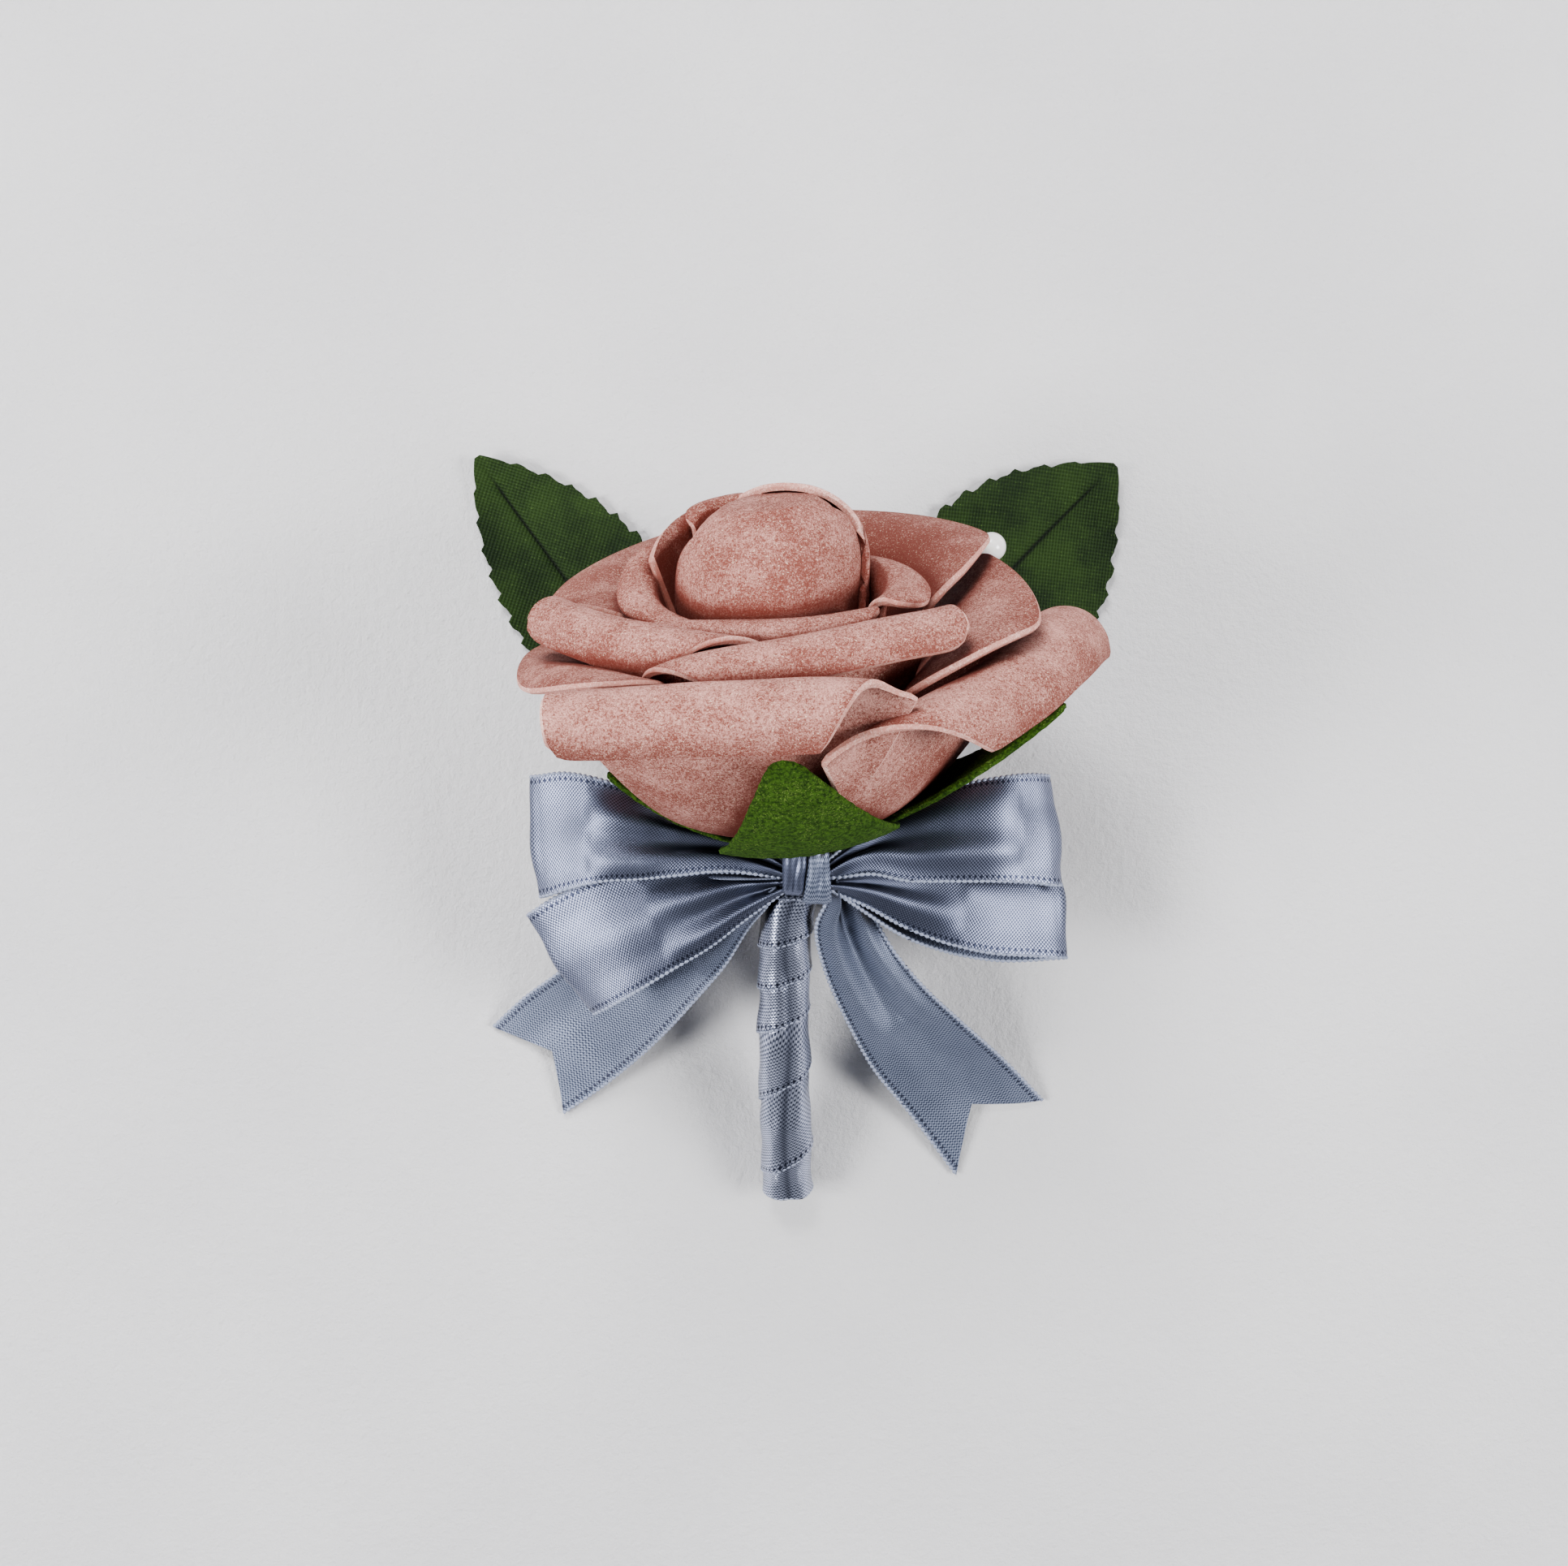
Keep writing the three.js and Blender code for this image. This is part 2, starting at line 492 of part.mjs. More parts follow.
// Each stretch of ribbon is a list of stations, and each station has the places of the ribbon's
// two edges. A loop runs out along its front, over its fold and back behind.
const LOOPS = [
  [ // upper left
    [[-1.2, -4.9, 28.9], [-1.2, -6.3, 28.6]],
    [[-8.8, -2.8, 24.4], [-8.9, -5.1, 28.6]],
    [[-14, -0.4, 23.8], [-16, -5.6, 28]],
    [[-19.8, 3.6, 24], [-21, -6.1, 27]],
    [[-25.6, 6.4, 23.5], [-26, -6.9, 25.2]],
    [[-31, 7.4, 22], [-30.5, -8, 23]],
    [[-35.3, 7, 20.6], [-34, -9, 20.8]],
    [[-35.9, 6.9, 19.8], [-34.6, -9.2, 20]],
    [[-35.3, 6.9, 19], [-34, -9, 19.2]],
    [[-27, 5.6, 18.6], [-26, -6.5, 19.4]],
    [[-14, -0.8, 21], [-14, -4.8, 22.6]],
    [[-1.2, -4.7, 28.1], [-1.2, -5.9, 27.7]],
  ],
  [ // lower left
    [[-1.2, -6.2, 28.2], [-1.2, -7.8, 27.7]],
    [[-8.5, -4.9, 25], [-6.5, -11.6, 26]],
    [[-15, -5, 24], [-11.5, -15.6, 24.6]],
    [[-21.5, -5.4, 22.6], [-16.5, -18.7, 22.8]],
    [[-28, -7.2, 21], [-21.5, -21.8, 20.6]],
    [[-33, -9.6, 19.4], [-25, -23.9, 19]],
    [[-36.1, -11.6, 18.2], [-27.1, -25, 18]],
    [[-36.5, -11.9, 17.5], [-27.5, -25.3, 17.3]],
    [[-36, -11.7, 16.8], [-27, -25, 16.6]],
    [[-27, -8, 17.4], [-20, -20, 17.4]],
    [[-14, -6, 21], [-10.5, -13.5, 21.8]],
    [[-1.2, -6.1, 27.5], [-1.2, -7.5, 27]],
  ],
  [ // upper right
    [[3.6, -4.9, 28.9], [3.6, -6.3, 28.6]],
    [[10.6, -2, 24.4], [9.5, -5.3, 28.6]],
    [[16.4, 1.8, 23.6], [15, -6.5, 28]],
    [[21.6, 5.2, 23.4], [20.5, -6.8, 27]],
    [[27.7, 6.9, 22.2], [27, -6.9, 25]],
    [[31.5, 7.2, 21], [31.5, -7.2, 22.8]],
    [[33.4, 7.1, 20.2], [35, -7.6, 20.6]],
    [[34, 7, 19.4], [35.6, -7.6, 19.8]],
    [[33.4, 7, 18.6], [35, -7.6, 19]],
    [[25, 5.6, 18.4], [26, -6, 19]],
    [[14, -0.8, 20.6], [15, -5, 22.4]],
    [[3.6, -4.7, 28.1], [3.6, -5.9, 27.7]],
  ],
  [ // lower right
    [[3.6, -6.2, 28.2], [3.6, -7.6, 27.8]],
    [[10, -5.2, 25], [9.5, -10, 26.8]],
    [[16, -5.6, 23.6], [14.5, -12.9, 25.8]],
    [[22, -5.8, 22.4], [20, -15.2, 24.4]],
    [[28, -6.4, 20.8], [26, -16.7, 22.4]],
    [[32.5, -7.2, 19.4], [31.5, -17.2, 20.4]],
    [[35.5, -7.8, 18.4], [36.2, -17.6, 18.3]],
    [[36, -7.9, 17.6], [36.8, -17.7, 17.6]],
    [[35.4, -7.9, 16.8], [36.2, -18, 16.8]],
    [[27, -8, 17.2], [27, -18.2, 18]],
    [[15, -7, 21], [15, -15, 21.8]],
    [[3.6, -6.1, 27.5], [3.6, -7.5, 27]],
  ],
];
const TAILS = [
  [ // left
    [[-2.4, -6.4, 27.4], [-2.4, -7.8, 27.1]],
    [[-6, -7.6, 23.4], [-4.6, -10.6, 24.2]],
    [[-10, -8.8, 19.4], [-6.8, -13.4, 20.4]],
    [[-19, -11.4, 14.8], [-9.8, -18.6, 16.6]],
    [[-26.5, -15, 10.4], [-14, -23.8, 12.4]],
    [[-33.1, -20.4, 5.8], [-20.4, -30.8, 6.8]],
    [[-38.9, -24.7, 2.4], [-27.4, -36.9, 2.4]],
    [[-43.2, -28.7, 0.6], [-33.2, -41, 0.6]],
  ],
  [ // right
    [[4.8, -7.6, 27.1], [4.8, -6.2, 27.4]],
    [[4.4, -10, 25], [8, -8.6, 22.8]],
    [[2.9, -13.5, 22.4], [11, -12.8, 18.8]],
    [[3.9, -19.4, 17.6], [13.8, -17.7, 16.4]],
    [[7.2, -27.2, 11.8], [18.3, -23, 12.2]],
    [[11, -34.1, 6.8], [24.5, -28.6, 7.4]],
    [[16.7, -41.4, 2.6], [29.9, -33.6, 3.4]],
    [[22.9, -49.8, 0.6], [35.2, -39.2, 0.6]],
  ],
];
const TAIL_NOTCH = 0.1; // share of the tail's length
const LOOP_GRID = { across: 3, along: 16, crown: 1.2 };
const TAIL_GRID = { across: 4, along: 9, crown: -0.8 };

// A stretch of ribbon between its two edges. crown lifts its middle, by bulge at each place
// along it, and notch cuts its far end to a swallow's tail.
function ribbonSolid(stations, grid, bulge, notch, thickness) {
  const edges = [0, 1].map(
    (side) => new THREE.CatmullRomCurve3(stations.map((station) => new THREE.Vector3(...station[side]))),
  );
  const rows = [];
  for (let i = 0; i <= grid.across; i++) {
    const v = i / grid.across;
    const aside = 1 - Math.abs(2 * v - 1);
    const column = [];
    for (let j = 0; j <= grid.along; j++) {
      const t = (j / grid.along) * (1 - notch * aside);
      const point = edges[0].getPoint(t).lerp(edges[1].getPoint(t), v);
      point.z += grid.crown * bulge(t) * (1 - (2 * v - 1) ** 2);
      column.push(point);
    }
    rows.push(column);
  }
  return solidOf(sheetGeometry(rows, thickness));
}

// The tie's frame: X across the stem, Y up along it and Z out from it.
function tieMatrix() {
  const share = stemShare(TIE.along);
  const onward = stemCurve.getTangentAt(share);
  const across = new THREE.Vector3(1, 0, 0);
  const out = across.clone().cross(onward).normalize();
  const middle = stemCurve.getPointAt(share)
    .addScaledVector(out, TIE.above)
    .addScaledVector(across, TIE.aside);
  return new THREE.Matrix4().makeBasis(onward.clone().cross(out), onward, out).setPosition(middle);
}

// A bar across the stem with a rounded section, half being half its sizes along and out.
function tieBar(half, length) {
  const [along, out] = half;
  const corner = Math.min(along, out) * 0.7;
  const section = new THREE.Shape();
  section.moveTo(along, corner - out);
  section.lineTo(along, out - corner);
  section.absarc(along - corner, out - corner, corner, 0, Math.PI / 2);
  section.absarc(corner - along, out - corner, corner, Math.PI / 2, Math.PI);
  section.absarc(corner - along, corner - out, corner, Math.PI, 1.5 * Math.PI);
  section.absarc(along - corner, corner - out, corner, 1.5 * Math.PI, 2 * Math.PI);
  const bar = new THREE.ExtrudeGeometry(section, { depth: length, curveSegments: 4, bevelEnabled: false });
  bar.translate(0, 0, -length / 2);
  bar.applyMatrix4(new THREE.Matrix4().makeBasis(
    new THREE.Vector3(0, 1, 0), new THREE.Vector3(0, 0, 1), new THREE.Vector3(1, 0, 0)));
  return solidOf(bar, tieMatrix());
}

// The tie goes round the bow's middle, and is one with a ring round the stem. grown thickens it.
function tieSolid(grown) {
  const [along, out] = TIE.half;
  const outside = tieBar([along + grown, out + grown], TIE.width + 2 * grown);
  const hollow = tieBar([along - TIE.wall - grown, out - TIE.wall - grown], 2 * TIE.width);
  const ring = (radius, extra) => solidOf(tubeGeometry(stemCurve,
    stemShare(TIE_RING.from - extra), stemShare(TIE_RING.to + extra), 3, 16, () => radius));
  return outside.add(ring(TIE_RING.outer + grown, grown)).subtract(hollow)
    .subtract(ring(TIE_RING.inner - grown, 1));
}

function bowSolid() {
  const loops = LOOPS.map((loop) =>
    ribbonSolid(loop, LOOP_GRID, (t) => Math.sin(2 * Math.PI * t), 0, RIBBON_THICK));
  const tails = TAILS.map((tail) =>
    ribbonSolid(tail, TAIL_GRID, (t) => Math.sin(Math.PI * t), TAIL_NOTCH, RIBBON_THICK));
  const [along, out] = TIE.half.map((half) => half - TIE.wall - GAP);
  return joined([tieBar([along, out], TIE.width + 1.6), ...loops, ...tails]);
}

// ---------------------------------------------------------------- pin

// A corsage pin, pushed through the back of the rose towards the top of the stem.
const PIN = { head: new THREE.Vector3(27.6, 39, 9), point: new THREE.Vector3(3.6, -4.4, 15.9) };
const PIN_SIZE = { length: 50.8, shaft: 0.4, pearl: 2.05, cone: 3 };
const pinWay = PIN.point.clone().sub(PIN.head).normalize();

function pinShaftGeometry(radius) {
  const alongPin = (far) => PIN.head.clone().addScaledVector(pinWay, far);
  const line = new THREE.LineCurve3(alongPin(PIN_SIZE.pearl + GAP), alongPin(PIN_SIZE.length));
  const taper = (t) => radius * Math.min(1, 0.25 + ((1 - t) * PIN_SIZE.length) / PIN_SIZE.cone);
  return tubeGeometry(line, 0, 1, 16, 6, taper);
}

// ---------------------------------------------------------------- the whole

// Nothing goes below the table: what would is cut flat there.
const TABLE = new THREE.BoxGeometry(200, 200, 40).translate(0, 0, -20);

const toRose = roseFrame.matrixWorld.clone().invert();
const cutAll = (solid, tools, matrix) =>
  tools.reduce((rest, tool) => rest.subtract(solidOf(tool, matrix)), solid);
const bores = [boreGeometry(), pinShaftGeometry(PIN_SIZE.shaft + GAP)];
const stalks = Object.values(LEAVES).map((leaf) => stalkGeometry(leaf, GAP));

const petals = [...ROLLED_PETALS.map((petal) => rolledPetal(petal, 0)), ...BUD_PETALS.map(budPetal)];
const bloom = cutAll(joined([roseCore(), ...petals]), [...bores, TABLE], toRose);
const clearPetals = joined(ROLLED_PETALS.slice(0, OUTER_RING).map((petal) => rolledPetal(petal, GAP)));
const calyx = cutAll(calyxSolid(0).subtract(clearPetals), bores, toRose);
roseFrame.add(
  meshOf("rose_bloom", geometryOf(mainBody(bloom)), FOAM),
  meshOf("calyx", geometryOf(mainBody(calyx)), FLOCK),
);

const clearCalyx = calyxSolid(GAP, roseFrame.matrixWorld);
const winding = cutAll(windingSolid(), [...stalks, TABLE]);
const tie = cutAll(tieSolid(0), stalks).subtract(clearCalyx);
const bow = bowSolid().subtract(tieSolid(GAP)).subtract(clearCalyx);

const boutonniere = new THREE.Group();
boutonniere.add(
  roseFrame,
  meshOf("stem_wire", geometryOf(solidOf(wireGeometry())), GREEN_WIRE),
  meshOf("stem_winding", geometryOf(mainBody(winding)), SATIN),
  ...Object.entries(LEAVES).map(([name, leaf]) =>
    meshOf(name, geometryOf(mainBody(cutAll(leafSolid(leaf), [TABLE]))), SILK_LEAF)),
  meshOf("bow_ribbon", geometryOf(mainBody(bow)), SATIN),
  meshOf("bow_tie", geometryOf(mainBody(tie)), SATIN),
  meshOf("pin_shaft", geometryOf(solidOf(pinShaftGeometry(PIN_SIZE.shaft))), STEEL),
);
const pearl = meshOf("pin_pearl", new THREE.SphereGeometry(PIN_SIZE.pearl, 16, 10), PEARL);
pearl.position.copy(PIN.head);
boutonniere.add(pearl);

export default boutonniere;
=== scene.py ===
"""A boutonniere: a foam rose, its flocked calyx, two fabric leaves, a satin bow on a wound stem and a pin."""

import math

import bpy
import numpy as np
from mathutils import Matrix, Vector, noise


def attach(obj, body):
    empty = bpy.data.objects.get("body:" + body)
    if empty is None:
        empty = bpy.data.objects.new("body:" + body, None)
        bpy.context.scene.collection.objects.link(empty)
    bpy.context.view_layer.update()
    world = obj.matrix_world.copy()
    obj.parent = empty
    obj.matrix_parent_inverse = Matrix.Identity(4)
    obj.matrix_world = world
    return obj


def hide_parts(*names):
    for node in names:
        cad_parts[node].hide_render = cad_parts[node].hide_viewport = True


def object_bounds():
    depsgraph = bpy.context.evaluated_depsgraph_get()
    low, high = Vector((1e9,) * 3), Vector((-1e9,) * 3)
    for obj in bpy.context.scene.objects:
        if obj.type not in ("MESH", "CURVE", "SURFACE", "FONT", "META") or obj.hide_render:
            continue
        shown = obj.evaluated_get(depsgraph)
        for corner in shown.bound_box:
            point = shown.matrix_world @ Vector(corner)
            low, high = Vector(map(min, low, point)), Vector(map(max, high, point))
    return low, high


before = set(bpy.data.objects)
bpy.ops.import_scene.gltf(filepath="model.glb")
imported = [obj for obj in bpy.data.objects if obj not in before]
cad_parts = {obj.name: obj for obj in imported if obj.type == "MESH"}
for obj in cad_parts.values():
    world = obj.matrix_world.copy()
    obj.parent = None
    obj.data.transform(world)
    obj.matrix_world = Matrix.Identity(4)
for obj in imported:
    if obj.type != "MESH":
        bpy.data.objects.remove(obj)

cad_box = [list(corner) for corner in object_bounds()]

# ---------------------------------------------------------------- camera, lights and table
# The boutonniere lies on a pale painted board and is seen from straight above. Three square soft
# lights stand round it, one towards its top and one on each side, under a faint cool sky.
# Places and sizes are in millimetres until they are used.
MM = 0.001
CAMERA = {"place": (-1.7, 6.1, 330), "lens": 52.9}
LIGHTS = {"window": {"place": (-160, 520, 540), "size": 300, "power": 8.0},
          "left_panel": {"place": (-580, -120, 500), "size": 280, "power": 9.0},
          "right_panel": {"place": (580, -60, 500), "size": 280, "power": 8.5}}
AIM = (0, 0, 20)
SKY = {"Color": (0.93, 0.95, 1.0, 1.0), "Strength": 0.17}
BOARD_HALF = 1500


def colour(red, green, blue):
    """A colour given in 0-255 display values, as the linear values a shader takes."""
    linear = [((c / 255 + 0.055) / 1.055) ** 2.4 if c > 10 else c / 255 / 12.92 for c in (red, green, blue)]
    return (*linear, 1.0)


class Value:
    """A socket of a material. Maths on it adds Math nodes, and node() adds any other node."""

    def __init__(self, tree, socket=None):
        self.tree = tree
        self.socket = socket

    def node(self, kind, settings=None, inputs=None, output=0):
        made = self.tree.nodes.new("ShaderNode" + kind)
        for name, value in (settings or {}).items():
            setattr(made, name, value)
        for name, value in (inputs or {}).items():
            if isinstance(value, Value):
                self.tree.links.new(value.socket, made.inputs[name])
            else:
                made.inputs[name].default_value = value
        return Value(self.tree, made.outputs[output])

    def maths(self, operation, first, second=0.0):
        return self.node("Math", {"operation": operation}, {0: first, 1: second})

    def __add__(self, other):
        return self.maths("ADD", self, other)

    def __radd__(self, other):
        return self.maths("ADD", other, self)

    def __sub__(self, other):
        return self.maths("SUBTRACT", self, other)

    def __rsub__(self, other):
        return self.maths("SUBTRACT", other, self)

    def __mul__(self, other):
        return self.maths("MULTIPLY", self, other)

    def __rmul__(self, other):
        return self.maths("MULTIPLY", other, self)

    def wave(self, pitch):
        """From -1 to 1 and back once in each pitch."""
        return self.maths("SINE", self * (2 * math.pi / pitch))

    def between(self, low, high):
        """0 below low, 1 above high, and smooth between."""
        return self.node("MapRange", {"interpolation_type": "SMOOTHSTEP"}, {"Value": self, 1: low, 2: high})

    def blend(self, first, second):
        """A colour on the way from first to second."""
        return self.node("Mix", {"data_type": "RGBA"}, {0: self, 6: first, 7: second}, output=2)


def new_finish(name, **constants):
    """A material, a Value of its tree to build on, and its Principled shader with constants set."""
    material = bpy.data.materials.new(name)
    material.use_nodes = True
    shader = material.node_tree.nodes["Principled BSDF"]
    for key, value in constants.items():
        shader.inputs[key.replace("_", " ")].default_value = value
    return material, Value(material.node_tree), shader


def grain(tree, size, detail=2.0, roughness=0.5):
    """Noise from 0 to 1 with lumps of about that size in millimetres, fixed to the object."""
    place = tree.node("TexCoord", output=3)
    return tree.node("TexNoise", {}, {"Vector": place, "Scale": 1 / (size * MM), "Detail": detail,
                                      "Roughness": roughness})


def set_inputs(tree, shader, **links):
    for key, value in links.items():
        tree.tree.links.new(value.socket, shader.inputs[key.replace("_", " ")])


def bumps(tree, height, depth):
    """A normal from a height whose whole range stands for depth millimetres."""
    return tree.node("Bump", {}, {"Height": height, "Distance": depth * MM, "Strength": 1.0})


def in_metres(place):
    return tuple(c * MM for c in place)


def add_object(name, data):
    made = bpy.data.objects.new(name, data)
    bpy.context.scene.collection.objects.link(made)
    return made


def add_mesh(name, points, faces):
    """A smooth object from points in millimetres and faces."""
    mesh = bpy.data.meshes.new(name)
    mesh.from_pydata([in_metres(point) for point in points], [], faces)
    mesh.polygons.foreach_set("use_smooth", [True] * len(faces))
    return add_object(name, mesh)


camera = add_object("camera", bpy.data.cameras.new("camera"))
camera.location = in_metres(CAMERA["place"])
camera.data.lens = CAMERA["lens"]
camera.data.clip_start = 10 * MM
bpy.context.scene.camera = camera

for light_name, light in LIGHTS.items():
    lamp = add_object(light_name, bpy.data.lights.new(light_name, "AREA"))
    lamp.data.size = light["size"] * MM
    lamp.data.energy = light["power"]
    lamp.location = in_metres(light["place"])
    lamp.rotation_euler = (Vector(in_metres(AIM)) - lamp.location).to_track_quat("-Z", "Y").to_euler()

sky = bpy.context.scene.world or bpy.data.worlds.new("studio")
bpy.context.scene.world = sky
sky.use_nodes = True
for key, value in SKY.items():
    sky.node_tree.nodes["Background"].inputs[key].default_value = value

board_corners = [(x * BOARD_HALF, y * BOARD_HALF, 0) for x, y in ((-1, -1), (1, -1), (1, 1), (-1, 1))]
board = add_mesh("board", board_corners, [(0, 1, 2, 3)])
paint, tree, shader = new_finish("board_paint", Roughness=0.75)
tone = grain(tree, 60, 4).between(0.3, 0.7).blend(colour(212, 211, 214), colour(222, 221, 223))
set_inputs(tree, shader, Base_Color=tone, Normal=bumps(tree, grain(tree, 1.6, 6, 0.75), 0.5))
board.data.materials.append(paint)

# ---------------------------------------------------------------- rose
# Petals die-cut from foam sheet, heat-curled over at the rim and glued in rings round a rolled
# core. The face is speckled in two tones; the cut edge shows the paler foam inside.
HEAD = Vector((1.4, -3.16, 22.8))
ROSE_FRAME = (Matrix.Translation(HEAD) @ Matrix.Rotation(math.radians(-68.5), 4, "X")
              @ Matrix.Rotation(math.radians(-7), 4, "Y"))
TABLE_TOP = 0.05  # the lowest that foam lies, just off the board
PETAL_THICK = 1.0
PETAL_FINE = {"across": 56, "body": 16, "roll": 24}
PETAL_ROOT = {"radius": 6.5, "up": 6.5, "spread": 30}
PETAL_SPLAY = 0.12
PETAL_CORNER = 2.4
PETAL_TIP = {"round": 0.08, "full": 0.923}
PETAL_CURL = {"start": 1.1, "ease": 0.3}
PETAL_SHADE = {"rim": 0.9, "foot": 1.4, "bud": 0.6, "core": 0.5}
FOAM_RUFFLE = {"size": 11, "depth": 0.35}
# for each petal: its rim's two ends (across, front and up), how far the rim bows out and its ends
# dip; the radius each end is rolled to; how much sheet lies past the rim at the left, at the tip
# and at the right, where the tip is and how blunt each side of it is; its belly's radius and height
# and how many degrees it spreads to each side; and how much shade is painted on it towards the heart
PETAL_COLUMNS = ("left", "right", "bow", "dip", "roll", "reach", "tip", "shape", "belly", "spread", "heart")
ROLLED_PETALS = {
    "front_outer": ((-25.5, 27.3, 34.6), (16, 27, 30.8), 1.2, (0, 1.5), (3.1, 3.4), (12.5, 14, 0.6), 0.42,
                    (1, 2.2), (23, 8), (44, 16), 0),
    "right_outer": ((4.5, 29, 24.2), (33, -10, 26), 5, (1, 2), (3.8, 4.5), (1, 15.4, 15), -0.3, (1.4, 1),
                    (22, 7), (38, 38), 0.1),
    "left_outer": ((-26.5, -10, 27.5), (-13, 20, 31), 2, (0, 0), (8, 8), (4, 13.8, 6.5), 0.2, (0.8, 0.7),
                   (14, 18), (24, 24), 0.6),
    "back_left_outer": ((4, -29, 21.5), (-28, -14.4, 26.5), 3.6, (1, 1), (3.2, 3.2), (3, 9, 5), 0.2,
                        (0.6, 0.6), (22, 7.5), (30, 30), 1.1),
    "back_right_outer": ((30, -7, 25), (-3, -29, 21.5), 6.2, (1, 1), (3.2, 3.2), (5, 8.6, 3), 0, (0.6, 0.6),
                         (22, 7.5), (30, 30), 1.1),
    "front_middle": ((-16.3, 19.5, 34.4), (19.3, 12, 33.6), 2.5, (3, 0), (2.5, 2.9), (0.6, 10, 10.5), -0.42,
                     (1, 1), (17, 10), (22, 22), 0.3),
    "left_middle": ((-25.5, 1, 37.2), (0, 18.5, 34), 2.5, (0, 0), (2.9, 2.6), (10, 11.5, 0.5), 0.12,
                    (1, 1.35), (17, 10), (24, 24), 0.3),
    "right_middle": ((14.5, 18.5, 26.5), (23.5, -12, 31.5), 2, (0, 0), (12, 9), (1.5, 13.9, 5), -0.15,
                     (0.9, 1), (12, 19), (24, 24), 0.8),
    "back_right_middle": ((19.5, 0, 32.2), (3, -22, 35.5), 4.5, (0, 0), (8, 7), (3, 13, 6), -0.35,
                          (0.8, 0.8), (12, 20), (26, 26), 2.0),
    "back_left_middle": ((-4, -22, 35.5), (-15.5, 4, 33.4), 5, (0, 0), (7, 7), (8, 15.2, 2), 0.4,
                         (0.35, 0.7), (12, 21), (26, 26), 1.2),
    "front_inner": ((-16.5, 8, 36.2), (12, 10.5, 34.8), 3.5, (0, 0), (1.6, 1.6), (0.8, 7, 3), 0.2,
                    (0.5, 0.6), (13, 16), (36, 36), 0.6),
    "right_inner": ((12, 9, 35), (9.5, -3, 35.2), 3, (0, 0), (2.4, 2.4), (6, 7, 6), -0.5, (1, 1), (11, 18),
                    (36, 36), 0.7),
    "left_inner": ((-13.5, -4, 40.5), (-9, 11, 35.5), 3.4, (0, 0), (2.2, 1.8), (4, 5.5, 2), 0.1, (0.5, 0.6),
                   (11, 18), (36, 36), 0.6),
    "back_inner": ((-4, -9.5, 44.5), (-14.8, 0.5, 42.3), 2.5, (0, 0), (1.2, 1.6), (3, 2.4, 0.5), -0.4,
                   (1, 1), (10.5, 22), (40, 40), 0.8),
    "back_curl": ((-2.2, -7.5, 46.2), (-9.4, -5, 45.6), 0.8, (0, 1.2), (0.9, 1.0), (1.4, 2.6, 2.2), 0.5,
                  (1, 1), (9, 26), (20, 20), 0.8),
}
BUD = {"radius": 11.5, "across": -0.75, "lean": 1.8, "bottom": 24, "shoulder": 36.5, "height": 12.8,
       "taper": 0.02, "dome": 2.8, "least": 0.02, "ends": 8, "rows": 40}
BEARINGS = range(0, 361, 10)
# for each petal wrapped round the bud: its two bearings, how far the first side slants, its top
# and how far off the bud it lies
BUD_COLUMNS = ("from", "to", "slant", "top", "off")
BUD_PETALS = {
    "bud_front": (-100, 116, 0, 48.0, 0),
    "bud_right": (42, 232, 36, 48.9, 1.05),
}
CORE = {"foot": ((0, 4.4), (6, 5.6), (8, 9), (9.5, 16)), "in": -0.8, "from": 22, "to": 47.4, "top": 47.9}


def lerp(start, end, share):
    return start + (end - start) * share


def in_rose(across, front, up):
    return Vector((across, -front, up))


def around(radius, bearing, up):
    """A point at a bearing round the rose's axis: 0 is the front and 90 the right."""
    turn = math.radians(bearing)
    return in_rose(radius * math.sin(turn), radius * math.cos(turn), up)


def even_shares(count, low=0.0, high=1.0):
    return [lerp(low, high, k / count) for k in range(count + 1)]


def rim_at(petal, u):
    """The point a share u (-1 to 1) along the rim, and the ways along it and outward."""
    left, right = in_rose(*petal["left"]), in_rose(*petal["right"])
    half = (right - left) / 2
    chord_out = Vector((half.y, -half.x, 0)).normalized()
    point = (left + right) / 2 + half * u + chord_out * petal["bow"] * (1 - u * u)
    point.z -= petal["dip"][0 if u < 0 else 1] * u ** 4
    along = (half - 2 * petal["bow"] * u * chord_out).normalized()
    return point, along, Vector((along.y, -along.x, 0)).normalized()


def reach_at(petal, u):
    """How much of the sheet lies past the rim, its tip and its two corners rounded off."""
    left, top, right = petal["reach"]
    on_left = u < petal["tip"]
    t = (u + 1) / (petal["tip"] + 1) if on_left else (1 - u) / (1 - petal["tip"])
    fall = 1 - max(t, 0) ** petal["shape"][0 if on_left else 1]
    fall = math.hypot(fall, PETAL_TIP["round"]) - PETAL_TIP["round"]
    reach = lerp(top, left if on_left else right, min(fall / PETAL_TIP["full"], 1))
    half_width = (in_rose(*petal["right"]) - in_rose(*petal["left"])).length / 2
    corner = min(PETAL_CORNER, 0.6 * reach)
    near = max(0, abs(u) - 1 + corner / half_width) * half_width / corner
    return reach - corner * (1 - math.sqrt(max(1 - near * near, 0)))


